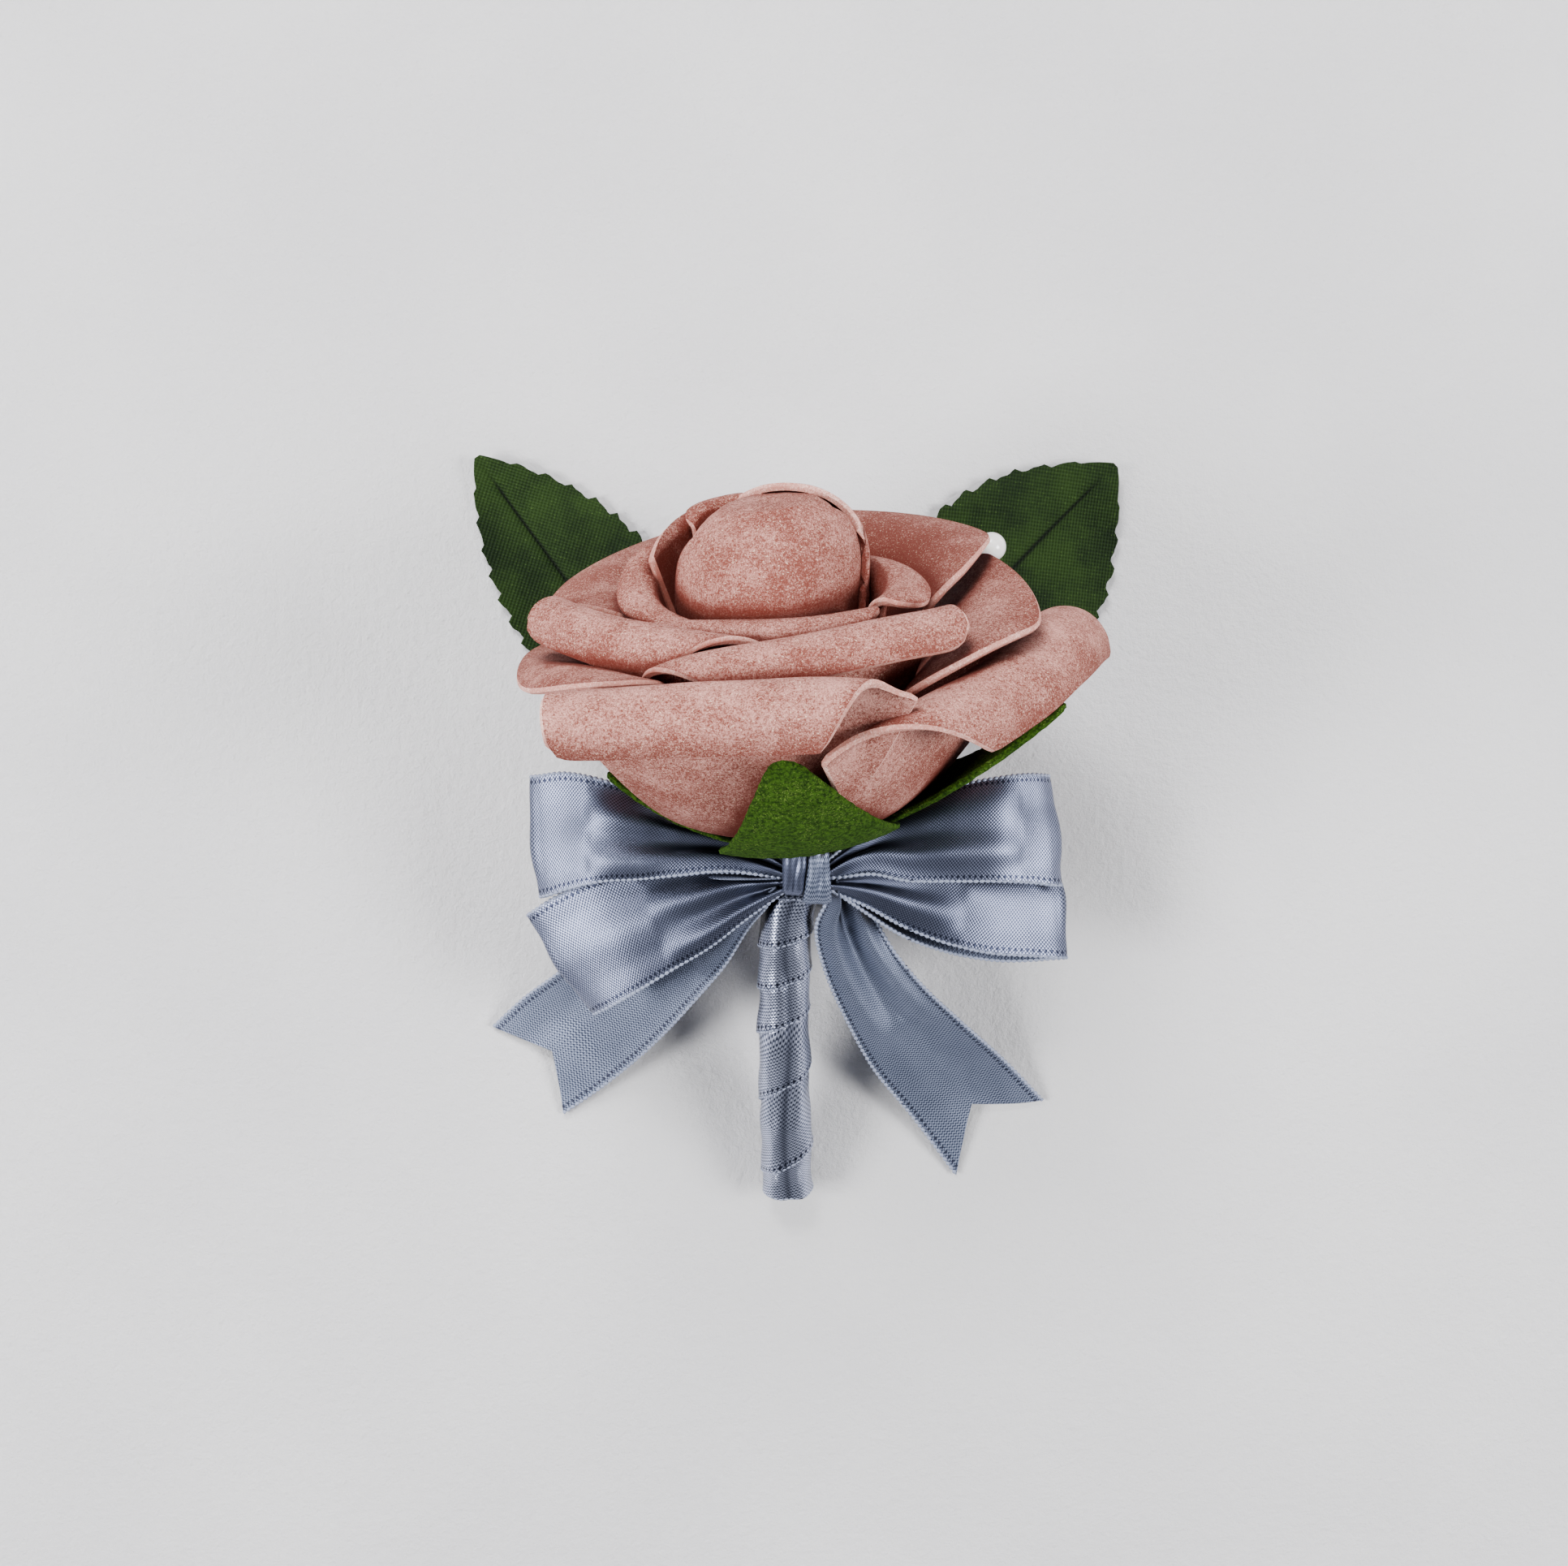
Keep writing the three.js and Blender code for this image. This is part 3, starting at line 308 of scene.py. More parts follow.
def petal_rib(petal, u):
    """Points from the root by the belly to the rim, and round the roll past it."""
    knee, along, outward = rim_at(petal, u)
    middle = rim_at(petal, 0)[0]
    bearing = math.degrees(math.atan2(middle.x, -middle.y))
    root = around(PETAL_ROOT["radius"], bearing + u * PETAL_ROOT["spread"], PETAL_ROOT["up"])
    belly = around(petal["belly"][0], bearing + u * petal["spread"][0 if u < 0 else 1], petal["belly"][1])
    points = [root * (1 - s) ** 2 + belly * 2 * s * (1 - s) + knee * s * s
              for s in even_shares(PETAL_FINE["body"])]
    rise = (knee - belly).normalized()
    over = (outward - rise * outward.dot(rise)).normalized()
    radius = lerp(petal["roll"][0], petal["roll"][1], (u + 1) / 2)
    step = reach_at(petal, u) / PETAL_FINE["roll"]
    point = knee.copy()
    for k in range(PETAL_FINE["roll"]):
        travelled = (k + 0.5) * step
        curl = PETAL_CURL["start"] - PETAL_CURL["ease"] * travelled / petal["reach"][1]
        angle = travelled / radius * curl
        point = point + step * (rise * math.cos(angle) + over * math.sin(angle))
        points.append(point + along * PETAL_SPLAY * u * (travelled + step / 2))
    return points


def bud_radius(up):
    """A dome on a barrel that narrows a little downward."""
    rise = (up - BUD["shoulder"]) / BUD["height"]
    if rise < 0:
        return BUD["radius"] - BUD["taper"] * (BUD["shoulder"] - up) ** 2
    return BUD["radius"] * math.sqrt(max(1 - rise ** BUD["dome"], BUD["least"]))


def bud_point(off, bearing, up):
    """A point off the bud's surface. The bud leans to the right above its shoulder."""
    aside = BUD["across"] + BUD["lean"] * max(up - BUD["shoulder"], 0) / BUD["height"]
    return around(bud_radius(up) + off, bearing, up) + Vector((aside, 0, 0))


def bud_rib(petal, t):
    """Points up one line of a petal wrapped round the bud, a share t from its first side."""
    top = lerp(BUD["bottom"] + BUD["ends"], petal["top"], math.sqrt(1 - (2 * t - 1) ** 4))
    points = []
    for share in even_shares(BUD["rows"]):
        bearing = lerp(petal["from"] + petal["slant"] * share, petal["to"], t)
        points.append(bud_point(petal["off"], bearing, lerp(BUD["bottom"], top, share)))
    return points


noise.seed_set(7)  # without it each run would ruffle the foam differently


def ruffled(points, size, depth):
    """The grid with each point moved by smooth noise with lumps of that size."""
    flat = [[p + depth * noise.noise_vector(p / size) for p in row] for row in points]
    return np.array([[tuple(p) for p in row] for row in flat])


LIP = 0.3  # how far a sheet's rounded edge stands out, in thicknesses
SHARP = 38  # edges that turn more than this many degrees look sharp
sheets = []


def sheet_mesh(name, grid, thickness, maps=None, depth=None, frame_matrix=None):
    """An object for a sheet of even thickness round a grid of points in millimetres. Material 0
    is on its front, 1 on its back and 2 on its cut edges, which are rounded. maps is each point's
    place on the cloth, and depth a value that its material reads."""
    rows, columns = grid.shape[:2]
    across, along = np.gradient(grid, axis=0), np.gradient(grid, axis=1)
    normal = np.cross(across, along)
    normal /= np.maximum(np.linalg.norm(normal, axis=2, keepdims=True), 1e-9)
    border = [(i, 0) for i in range(rows)]
    border += [(rows - 1, j) for j in range(1, columns)]
    border += [(i, columns - 1) for i in range(rows - 2, -1, -1)]
    border += [(0, j) for j in range(columns - 2, 0, -1)]
    lip = []
    for k, (i, j) in enumerate(border):
        before, after = border[k - 1], border[(k + 1) % len(border)]
        outward = np.cross(grid[after] - grid[before], normal[i, j])
        outward /= max(np.linalg.norm(outward), 1e-9)
        lip.append(grid[i, j] + outward * thickness * LIP)
    points = np.concatenate([(grid + normal * thickness / 2).reshape(-1, 3),
                             (grid - normal * thickness / 2).reshape(-1, 3), np.array(lip)])
    back, ring = rows * columns, 2 * rows * columns
    faces, finishes = [], []
    for i in range(rows - 1):
        for j in range(columns - 1):
            a, b = i * columns + j, (i + 1) * columns + j
            faces += [(a, b, b + 1, a + 1), (back + a, back + a + 1, back + b + 1, back + b)]
            finishes += [0, 1]
    for k, (i, j) in enumerate(border):
        n = (k + 1) % len(border)
        here, there = i * columns + j, border[n][0] * columns + border[n][1]
        faces += [(here, ring + k, ring + n, there), (ring + k, back + here, back + there, ring + n)]
        finishes += [2, 2]
    piece = add_mesh(name, points.tolist(), faces)
    mesh = piece.data
    mesh.polygons.foreach_set("material_index", finishes)
    source = [i * columns + j for i, j in border]
    corners = np.array([loop.vertex_index for loop in mesh.loops])
    if maps is not None:
        flat = maps.reshape(-1, 2)
        per_point = np.concatenate([flat, flat, flat[source]])
        layer = mesh.uv_layers.new(name="weave")
        layer.data.foreach_set("uv", per_point[corners].astype(np.float32).ravel())
    if depth is not None:
        flat = depth.reshape(-1)
        attribute = mesh.attributes.new("depth", "FLOAT", "POINT")
        attribute.data.foreach_set("value", np.concatenate([flat, flat, flat[source]]).astype(np.float32))
    if frame_matrix is not None:
        mesh.transform(Matrix.Scale(MM, 4) @ frame_matrix @ Matrix.Scale(1 / MM, 4))
    mesh.set_sharp_from_angle(angle=math.radians(SHARP))
    mesh.update()
    sheets.append(piece)
    return piece


def place_in_model(piece, slot, replaced, *finishes):
    """Give a piece its finishes and its body, and hide the part that it stands for. Its slot is not used."""
    for finish in finishes:
        piece.data.materials.append(finish)
    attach(piece, "root")
    if replaced:
        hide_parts(replaced)


def kept_at_points(tree, name):
    """A value kept at the points of a mesh: the sheet's own "depth", which is painted shade on foam
    and satin and how near a vein is on a leaf, or the shade in hollows: how shut in the place is by
    the pieces round it, from 0 in the open to 1, which the materials paint as shade."""
    return tree.node("Attribute", {"attribute_name": name}, output=2)


def foam_finish(name, dark, light, deep, shut):
    """Foam printed with a fine speckle, with dark pores and a few pale glints. Shade is painted on
    it as a ruddier, darker tone towards the heart, at the rims and the foot and in the folds."""
    material, tree, shader = new_finish(name, Roughness=0.85, Specular_IOR_Level=0.12)
    # the depth value is painted shade: towards the heart, at the rims, at the foot and on the bud
    heart = kept_at_points(tree, "depth")
    speck = grain(tree, 0.2, 2, 0.8)
    fleck = grain(tree, 0.45, 3, 0.7)
    blotch = grain(tree, 5, 4, 0.6)
    print_and_shade = speck * 0.62 + fleck * 0.38 + (blotch - 0.5) * 0.3 - heart * 0.12
    tone = print_and_shade.between(0.34, 0.62).blend(dark, light)
    tone = (fleck * 0.4 + speck * 0.6).between(0.4, 0.28).blend(tone, colour(104, 48, 40))
    tone = grain(tree, 0.26, 2, 0.9).between(0.6, 0.72).blend(tone, colour(240, 204, 180))
    # painted shade in the hollows between pieces and towards the heart
    tone = ((kept_at_points(tree, "hollow_shade") + heart * 0.14).between(0.02, shut) * 0.85).blend(tone, deep)
    set_inputs(tree, shader, Base_Color=tone, Normal=bumps(tree, speck, 0.1))
    return material


# foam_finish(name, dark speckle, light speckle, colour of the painted shade in hollows, how shut in a place
# has to be for it)
foam_face = foam_finish("foam_face", colour(114, 60, 51), colour(200, 144, 133), colour(90, 32, 23), 0.5)
foam_edge = foam_finish("foam_edge", colour(188, 128, 116), colour(240, 200, 188), colour(120, 56, 44), 0.8)


def foam_piece(name, rows, depth):
    """One piece of foam, flattened where it rests on the table."""
    piece = sheet_mesh(name, ruffled(rows, FOAM_RUFFLE["size"], FOAM_RUFFLE["depth"]), PETAL_THICK,
                       depth=np.broadcast_to(depth, (len(rows), len(rows[0]))), frame_matrix=ROSE_FRAME)
    for vertex in piece.data.vertices:
        vertex.co.z = max(vertex.co.z, TABLE_TOP * MM)
    place_in_model(piece, "foam", "rose_bloom", foam_face, foam_face, foam_edge)


# shares along a petal's rib: 1 up its body and 0 at the roll's end, 0 to 1 round the roll, and
# 1 at its foot to 0 at the rim
body, roll = PETAL_FINE["body"] + 1, PETAL_FINE["roll"]
in_the_heart = np.concatenate([np.ones(body), np.linspace(1, 0, roll)])
to_the_rim = np.concatenate([np.zeros(body), np.linspace(0, 1, roll) ** 3])
to_the_foot = np.concatenate([np.linspace(1, 0, body) ** 0.8, np.zeros(roll)])
# painted shade at each petal's rim and at its foot
ends_shade = PETAL_SHADE["rim"] * to_the_rim + PETAL_SHADE["foot"] * to_the_foot
for petal_name, row in ROLLED_PETALS.items():
    petal = dict(zip(PETAL_COLUMNS, row))
    foam_piece("petal_" + petal_name, [petal_rib(petal, u) for u in even_shares(PETAL_FINE["across"], -1, 1)],
               petal["heart"] * in_the_heart + ends_shade)
for petal_name, row in BUD_PETALS.items():
    petal = dict(zip(BUD_COLUMNS, row))
    foam_piece("petal_" + petal_name, [bud_rib(petal, t) for t in even_shares(PETAL_FINE["across"])],
               PETAL_SHADE["bud"])

cap_aside = Vector((BUD["across"] + BUD["lean"], 0, 0))
core_ribs = [[around(radius, bearing, up) for radius, up in CORE["foot"]]
             + [bud_point(CORE["in"], bearing, up) for up in even_shares(24, CORE["from"], CORE["to"])]
             + [around(radius, bearing, CORE["top"]) + cap_aside for radius in (2, 0)]
             for bearing in BEARINGS]
foam_piece("rose_core", core_ribs, PETAL_SHADE["core"])

# ---------------------------------------------------------------- calyx
# One star die-cut from flocked felt, pushed up the wire and folded up into five sepals that are
# glued to the outer petals.
SEPAL_ROOT = (5, 4.1)
SEPAL_THICK = 0.9
SEPAL_FINE = {"across": 36, "along": 64}
SEPAL_TIP = 2.1  # half the width of the blunt end
SEPAL_WIDEST = 42  # degrees to each side
FLOCK_RUFFLE = {"size": 0.8, "depth": 0.16}
# for each sepal, its bearing, how far out and up its belly and its end are, how much of that way
# it reaches, half its width, and how far it leans to the side
SEPAL_COLUMNS = ("bearing", "belly", "end", "length", "half", "lean")
SEPALS = {
    "front": (8, (26.6, 5.2), (33.2, 33.5), 0.84, 15, -8.5),
    "right": (68, (19.4, 7.6), (37.4, 21.8), 1.0, 9.5, 0),
    "back_right": (141, (21.5, 6.6), (33.5, 25), 0.72, 8, 0),
    "back_left": (213, (21.5, 6.6), (33.5, 25), 0.7, 8, 0),
    "left": (288, (20.4, 7.3), (31.5, 27), 0.72, 8, 0),
}
CALYX_CONE = {"bore": 1.9, "radius": 9.2, "inside": 2.7, "outside": 5.0}

flock, tree, shader = new_finish("flock", Roughness=1.0, Specular_IOR_Level=0.05)
tuft = grain(tree, 0.5, 3, 0.7)
fibre = grain(tree, 0.22, 2, 0.7)
worn = grain(tree, 5, 3)
tone = tuft.between(0.3, 0.7).blend(colour(20, 38, 8), colour(56, 86, 24))
tone = (fibre + worn * 0.4).between(0.78, 0.98).blend(tone, colour(104, 130, 56))
# painted shade in the hollows between pieces
tone = kept_at_points(tree, "hollow_shade").between(0.15, 0.6).blend(tone, colour(8, 20, 2))
set_inputs(tree, shader, Base_Color=tone, Normal=bumps(tree, tuft + fibre * 0.6, 0.25))


def flock_piece(name, rows):
    piece = sheet_mesh(name, ruffled(rows, FLOCK_RUFFLE["size"], FLOCK_RUFFLE["depth"]), SEPAL_THICK,
                       frame_matrix=ROSE_FRAME)
    piece.data.polygons.foreach_set("material_index", [0] * len(piece.data.polygons))
    place_in_model(piece, "flock", "calyx", flock)


def sepal_rib(sepal, v):
    """Points up one line of a sepal, v going from -1 at its left side to 1 at its right."""
    root, belly, end = (Vector(place) for place in (SEPAL_ROOT, sepal["belly"], sepal["end"]))
    points = []
    for t in even_shares(SEPAL_FINE["along"]):
        s = t * sepal["length"]
        radius, up = root * (1 - s) ** 2 + belly * 2 * s * (1 - s) + end * s * s
        half = sepal["half"] * (1 - t ** 1.2) + SEPAL_TIP * math.sqrt(max(1 - t ** 12, 0))
        swing = min(math.degrees(half / radius), SEPAL_WIDEST)
        points.append(around(radius, sepal["bearing"] + v * swing + sepal["lean"] * t, up))
    return points


for sepal_name, row in SEPALS.items():
    sepal = dict(zip(SEPAL_COLUMNS, row))
    ribs = [sepal_rib(sepal, v) for v in even_shares(SEPAL_FINE["across"], -1, 1)]
    flock_piece("sepal_" + sepal_name, ribs)

cone_rows = [[around(lerp(CALYX_CONE["bore"], CALYX_CONE["radius"], s), bearing,
                     lerp(CALYX_CONE["inside"], CALYX_CONE["outside"], s)) for s in even_shares(10)]
             for bearing in BEARINGS]
flock_piece("calyx_cone", cone_rows)

# ---------------------------------------------------------------- stem
# A plastic-coated wire, wound from its cut tip to the calyx in the same satin ribbon as the bow.
# Each turn laps the one below, and the ribbon's picot edge shows as a row of small loops.
STEM_PLACES = ((-1.2, -51.2, 3.2), (-1.6, -36.5, 9.5), (-1.7, -22, 15.3), (-1.1, -11, 19.6), tuple(HEAD),
               tuple(ROSE_FRAME @ in_rose(0, 0, 8)), tuple(ROSE_FRAME @ in_rose(0, 0, 17)))
WINDING = {"radius": 3.4, "step": 0.34, "top": 51.8, "crease": 0.42, "lumps": 0.32, "thick": 0.25,
           "least": 0.2, "around": 96, "along": 480}
# the lengthwise crease in front, as its angle, how far it sways and its width: in the shape, and
# in the shade painted along it
CREASE_CUT = (1.42, 0.14, 0.3)
CREASE_SHADE = (1.5, 0.16, 0.2)
LAP = 0.2
# how far up the stem the ribbon's edge is as it crosses the front, turn by turn
TURNS_AT = (0, 4.9, 17.8, 27.4, 33.4, 39.5, 46.5, 51.8)
TURNS = (0.35, 1, 2, 3, 4, 5, 6, 7)


def spline(places, shares):
    """Points at even shares of a centripetal Catmull-Rom curve through the places."""
    knots = [Vector(place) for place in places]
    knots = [2 * knots[0] - knots[1], *knots, 2 * knots[-1] - knots[-2]]
    points = []
    for share in shares:
        at = min(max(share, 0), 1) * (len(knots) - 3)
        k = min(int(at), len(knots) - 4)
        a, b, c, d = knots[k:k + 4]
        before, mid, after = ((q - p).length ** 0.5 or 1e-4 for p, q in ((a, b), (b, c), (c, d)))
        enter = ((b - a) / before - (c - a) / (before + mid) + (c - b) / mid) * mid
        leave = ((c - b) / mid - (d - b) / (mid + after) + (d - c) / after) * mid
        s = at - k
        points.append(b + enter * s + (3 * (c - b) - 2 * enter - leave) * s * s
                      + (2 * (b - c) + enter + leave) * s ** 3)
    return points


def evenly(points, count):
    """That many even steps along a line of points, and how far along each one is."""
    line = np.array([tuple(p) for p in points])
    run = np.concatenate([[0], np.cumsum(np.linalg.norm(np.diff(line, axis=0), axis=1))])
    at = np.linspace(0, run[-1], count + 1)
    return np.stack([np.interp(at, run, line[:, k]) for k in range(3)], axis=1), at


HALF_RIBBON = 7.95
# the picot loops: their pitch and radius on the stem and on the bow, how many steps each one is
# drawn in, and how low they lie
PICOT = {"pitch": 0.76, "radius": 0.17, "bow_pitch": 0.78, "bow_radius": 0.3, "steps": 6, "least": 0.4}
stem_line, stem_run = evenly(spline(STEM_PLACES, even_shares(400)), 1600)


def stem_at(distance):
    """The stem's middle at a distance from its tip, and the ways across and over it there."""
    place = np.array([np.interp(distance, stem_run, stem_line[:, k]) for k in range(3)])
    ahead = np.array([np.interp(distance + 0.5, stem_run, stem_line[:, k]) for k in range(3)])
    onward = Vector(ahead - place).normalized()
    over = Vector((1, 0, 0)).cross(onward).normalized()
    return Vector(place), onward.cross(over), over, onward


def weave_of(tree):
    """The place on the cloth in millimetres: across it, and along it."""
    place = tree.node("UVMap", {"uv_map": "weave"})
    return [tree.node("SeparateXYZ", {}, {0: place}, output=k) for k in (0, 1)]


def satin_finish(name, dark, light, lattice, rib, Roughness, Metallic, wound=False):
    """Polyester satin: a lattice of tiny floats on the face, or cross ribs on the reverse, and a
    row of pin holes just inside each woven edge. Wound tight, its floats draw into lines. Shade is
    painted on it where it is drawn in at the tie, along the winding's crease and in hollows."""
    material, tree, shader = new_finish(name, Roughness=Roughness, Metallic=Metallic)
    weft, warp = weave_of(tree)
    weave = weft.wave(0.56) * warp.wave(0.44) * lattice + (weft if wound else warp).wave(0.42) * rib
    slub = grain(tree, 4, 4, 0.6)
    tone = (weave * 0.52 + (slub - 0.5) * 0.3 + 0.5).between(0.0, 1.0).blend(dark, light)
    from_edge = HALF_RIBBON - tree.maths("ABSOLUTE", weft - HALF_RIBBON)
    hole_row = from_edge.between(0.35, 0.6) * from_edge.between(1.1, 0.85)
    holes = hole_row * warp.wave(PICOT["pitch"]).between(-0.1, 0.5)
    tone = holes.blend(tone, colour(38, 42, 60))
    # painted shade: darker where the ribbon is drawn in at the tie and along the winding's crease, and in the
    # hollows between pieces
    tone = (kept_at_points(tree, "depth") * 0.72).blend(tone, colour(38, 43, 60))
    tone = kept_at_points(tree, "hollow_shade").between(0.12, 0.5).blend(tone, colour(20, 22, 34))
    set_inputs(tree, shader, Base_Color=tone, Normal=bumps(tree, weave, 0.01))
    return material


# satin_finish(name, dark thread, light thread, lattice, rib, roughness, metallic)
satin_face = satin_finish("satin_face", colour(50, 56, 76), colour(140, 146, 172), 1.4, 0.0, 0.4, 0.86)
satin_reverse = satin_finish("satin_reverse", colour(40, 48, 68), colour(132, 141, 166), 1.2, 0.45, 0.46, 0.6)
satin_wound = satin_finish("satin_wound", colour(44, 50, 72), colour(206, 213, 240), 0.8, 0.5, 0.3, 0.86,
                           wound=True)
# a darker copy of the satin face, as painted shade on the tie's left strand
satin_shaded = satin_finish("satin_shaded", colour(38, 42, 60), colour(112, 119, 144), 0.5, 0.1, 0.4, 0.8)
picot = satin_finish("picot", colour(100, 109, 136), colour(172, 180, 204), 0.0, 0.0, 0.55, 0.25)


def beaded_edge(line, radius, pitch):
    """Points and faces of a thin cord along a line, swelling once in each pitch, as picot does."""
    length = sum((b - a).length for a, b in zip(line, line[1:]))
    points, run = evenly(line, max(8, round(PICOT["steps"] * length / pitch)))
    ways = np.gradient(points, axis=0)
    sides, places, faces = 6, [], []
    for k, (point, way) in enumerate(zip(points, ways)):
        way = Vector(way).normalized()
        side = way.orthogonal().normalized()
        up = side.cross(way)
        swell = radius * (0.3 + 0.7 * abs(math.sin(math.pi * run[k] / pitch)))
        for n in range(sides):
            turn = 2 * math.pi * n / sides
            places.append(tuple(Vector(point) + swell * (side * math.cos(turn) + up * math.sin(turn))))
    for k in range(len(points) - 1):
        for n in range(sides):
            a, b = k * sides + n, k * sides + (n + 1) % sides
            faces.append((a, b, b + sides, a + sides))
    last = (len(points) - 1) * sides
    faces += [tuple(range(sides - 1, -1, -1)), tuple(range(last, last + sides))]
    return places, faces


def picot_piece(name, lines, radius, pitch, replaced=None):
    """One object for the beaded edges along several lines."""
    places, faces = [], []
    for line in lines:
        more, sides = beaded_edge(line, radius, pitch)
        faces += [tuple(k + len(places) for k in face) for face in sides]
        places += more
    piece = add_mesh(name, places, faces)
    piece.data.uv_layers.new(name="weave").data.foreach_set(
        "uv", np.array([places[loop.vertex_index][:2] for loop in piece.data.loops], np.float32).ravel())
    place_in_model(piece, "satin", replaced, picot)


def round_about(count):
    return even_shares(count, 0, 2 * math.pi)


def winding_turns(distance, angle):
    """How many turns of the ribbon have been wound by there."""
    return float(np.interp(distance, TURNS_AT, TURNS)) + (angle - math.pi / 2) / (2 * math.pi)


def crease_at(distance, angle, centre, sway, width):
    return math.exp(-((angle - centre - sway * math.sin(distance / 5.5)) / width) ** 2)


def winding_point(distance, angle, lift=0.0):
    """A point of the winding: angle 0 is its right side and a quarter turn its front."""
    place, across, over, onward = stem_at(distance)
    across = -across if across.x < 0 else across
    lap = winding_turns(distance, angle) % 1.0
    crease = WINDING["crease"] * crease_at(distance, angle, *CREASE_CUT)
    spot = Vector((0.8 * math.cos(angle), 0.8 * math.sin(angle), distance / 6)) * 1.3
    lumps = WINDING["lumps"] * noise.noise(spot)
    radius = WINDING["radius"] + WINDING["step"] * (0.5 - min(lap * 1.04, 1)) - crease + lumps + lift
    return place + radius * (across * math.cos(angle) + over * math.sin(angle))


def above_table(point):
    return Vector((point.x, point.y, max(point.z, PICOT["least"])))


winding_angles = round_about(WINDING["around"])
winding_heights = even_shares(WINDING["along"], 0, WINDING["top"])
winding_rows = np.array([[tuple(winding_point(d, a)) for d in winding_heights] for a in winding_angles])
winding_rows[:, :, 2] = np.maximum(winding_rows[:, :, 2], WINDING["least"])
pitch_at = np.interp(winding_heights, (np.array(TURNS_AT[1:]) + TURNS_AT[:-1]) / 2,
                     np.diff(TURNS_AT) / np.diff(TURNS))
winding_maps = np.array([[(winding_turns(d, a) % 1.0 * pitch, WINDING["radius"] * a)
                          for d, pitch in zip(winding_heights, pitch_at)] for a in winding_angles])
winding_shade = np.array([[0.95 * crease_at(d, a, *CREASE_SHADE) for d in winding_heights]
                          for a in winding_angles])
winding = sheet_mesh("stem_ribbon", winding_rows[::-1], WINDING["thick"], maps=winding_maps[::-1],
                     depth=winding_shade[::-1])
place_in_model(winding, "satin", "stem_winding", satin_wound, satin_reverse, picot)

# the ribbon's edge shows along each turn, just above its lap, and round the cut tip
edge_lines = []
for turn in range(1, 8):
    line = []
    for angle in even_shares(60, -0.5 * math.pi, 1.5 * math.pi):
        distance = float(np.interp(turn - (angle - math.pi / 2) / (2 * math.pi), TURNS, TURNS_AT))
        if distance < WINDING["top"] - LAP:
            line.append(above_table(winding_point(distance + LAP, angle % (2 * math.pi), 0.03)))
    if len(line) > 4:
        edge_lines.append(line)
edge_lines.append([above_table(winding_point(LAP / 2, angle, 0.05)) for angle in round_about(60)])
picot_piece("stem_ribbon_edge", edge_lines, PICOT["radius"], PICOT["pitch"])

green_plastic, tree, shader = new_finish("green_plastic", Roughness=0.45)
tone = grain(tree, 2, 3).between(0.3, 0.7).blend(colour(48, 84, 36), colour(66, 104, 48))
set_inputs(tree, shader, Base_Color=tone)


def refinish(node_name, finish):
    """Give a part that keeps its own shape a better finish."""
    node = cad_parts[node_name]
    node.data.materials.clear()
    node.data.materials.append(finish)


refinish("stem_wire", green_plastic)

# ---------------------------------------------------------------- leaves
# Two leaves cut from coated fabric with saw-toothed edges, pressed with a groove for the midrib,
# each on a thin wired stalk that runs into the winding.
LEAVES = {
    "leaf_left": {"stalk": ((-2.6, -13.5, 15.8), (-3.2, -9, 15.8), (-5, -4.5, 13.6), (-9.2, 2.6, 8.6)),
                  "blade": ((-14.6, 9.8, 4.2), (-23.5, 21.8, 0.65), (-33.6, 36.1, 0.55), (-41, 46.2, 1.1),
                            (-45.3, 52.4, 2.4)), "half": (9.2, 11.4)},
    "leaf_right": {"stalk": ((0.4, -13.5, 15.8), (1.6, -9, 15.8), (3.4, -4.5, 13.6), (6.8, 4.4, 8)),
                   "blade": ((11.6, 14.6, 3.4), (20.8, 25.4, 0.65), (31.9, 37.7, 0.55), (39.4, 45.4, 1.1),
                             (45.4, 51.2, 2.4)), "half": (12.6, 14)},
}
LEAF_TEETH = {"count": 15, "depth": 1.0, "fine": 8}
LEAF_THICK = 0.35
LEAF_COLUMNS = (-1, -0.97, -0.92, *even_shares(26, -0.86, 0.86), 0.92, 0.97, 1)
VEINS = {"midrib": 0.42, "groove": 0.3, "pitch": 5.2, "slant": 0.75, "width": 0.7, "faint": 0.3}
STALK = {"radius": 0.6, "wall": 0.12, "under": 0.35, "kept": 52}

leaf_cloth, tree, shader = new_finish("leaf_cloth", Roughness=0.7, Specular_IOR_Level=0.12)
weft, warp = weave_of(tree)
threads = (weft * 0.8 + warp * 0.6).wave(0.42) * 0.6 + (weft * 0.6 - warp * 0.8).wave(0.5) * 0.4
dye = grain(tree, 7, 4, 0.6)
lint = grain(tree, 0.5, 4, 0.8)
tone = (dye * 0.7 + lint * 0.3 + threads * 0.1).between(0.3, 0.7).blend(colour(12, 26, 8), colour(34, 54, 18))
tone = (lint + threads * 0.08).between(0.62, 0.8).blend(tone, colour(70, 94, 44))
tone = kept_at_points(tree, "depth").between(0.3, 1.0).blend(tone, colour(6, 14, 5))
# painted shade in the hollows between pieces
tone = kept_at_points(tree, "hollow_shade").between(0.2, 0.6).blend(tone, colour(4, 9, 3))
set_inputs(tree, shader, Base_Color=tone, Normal=bumps(tree, threads + dye, 0.06))


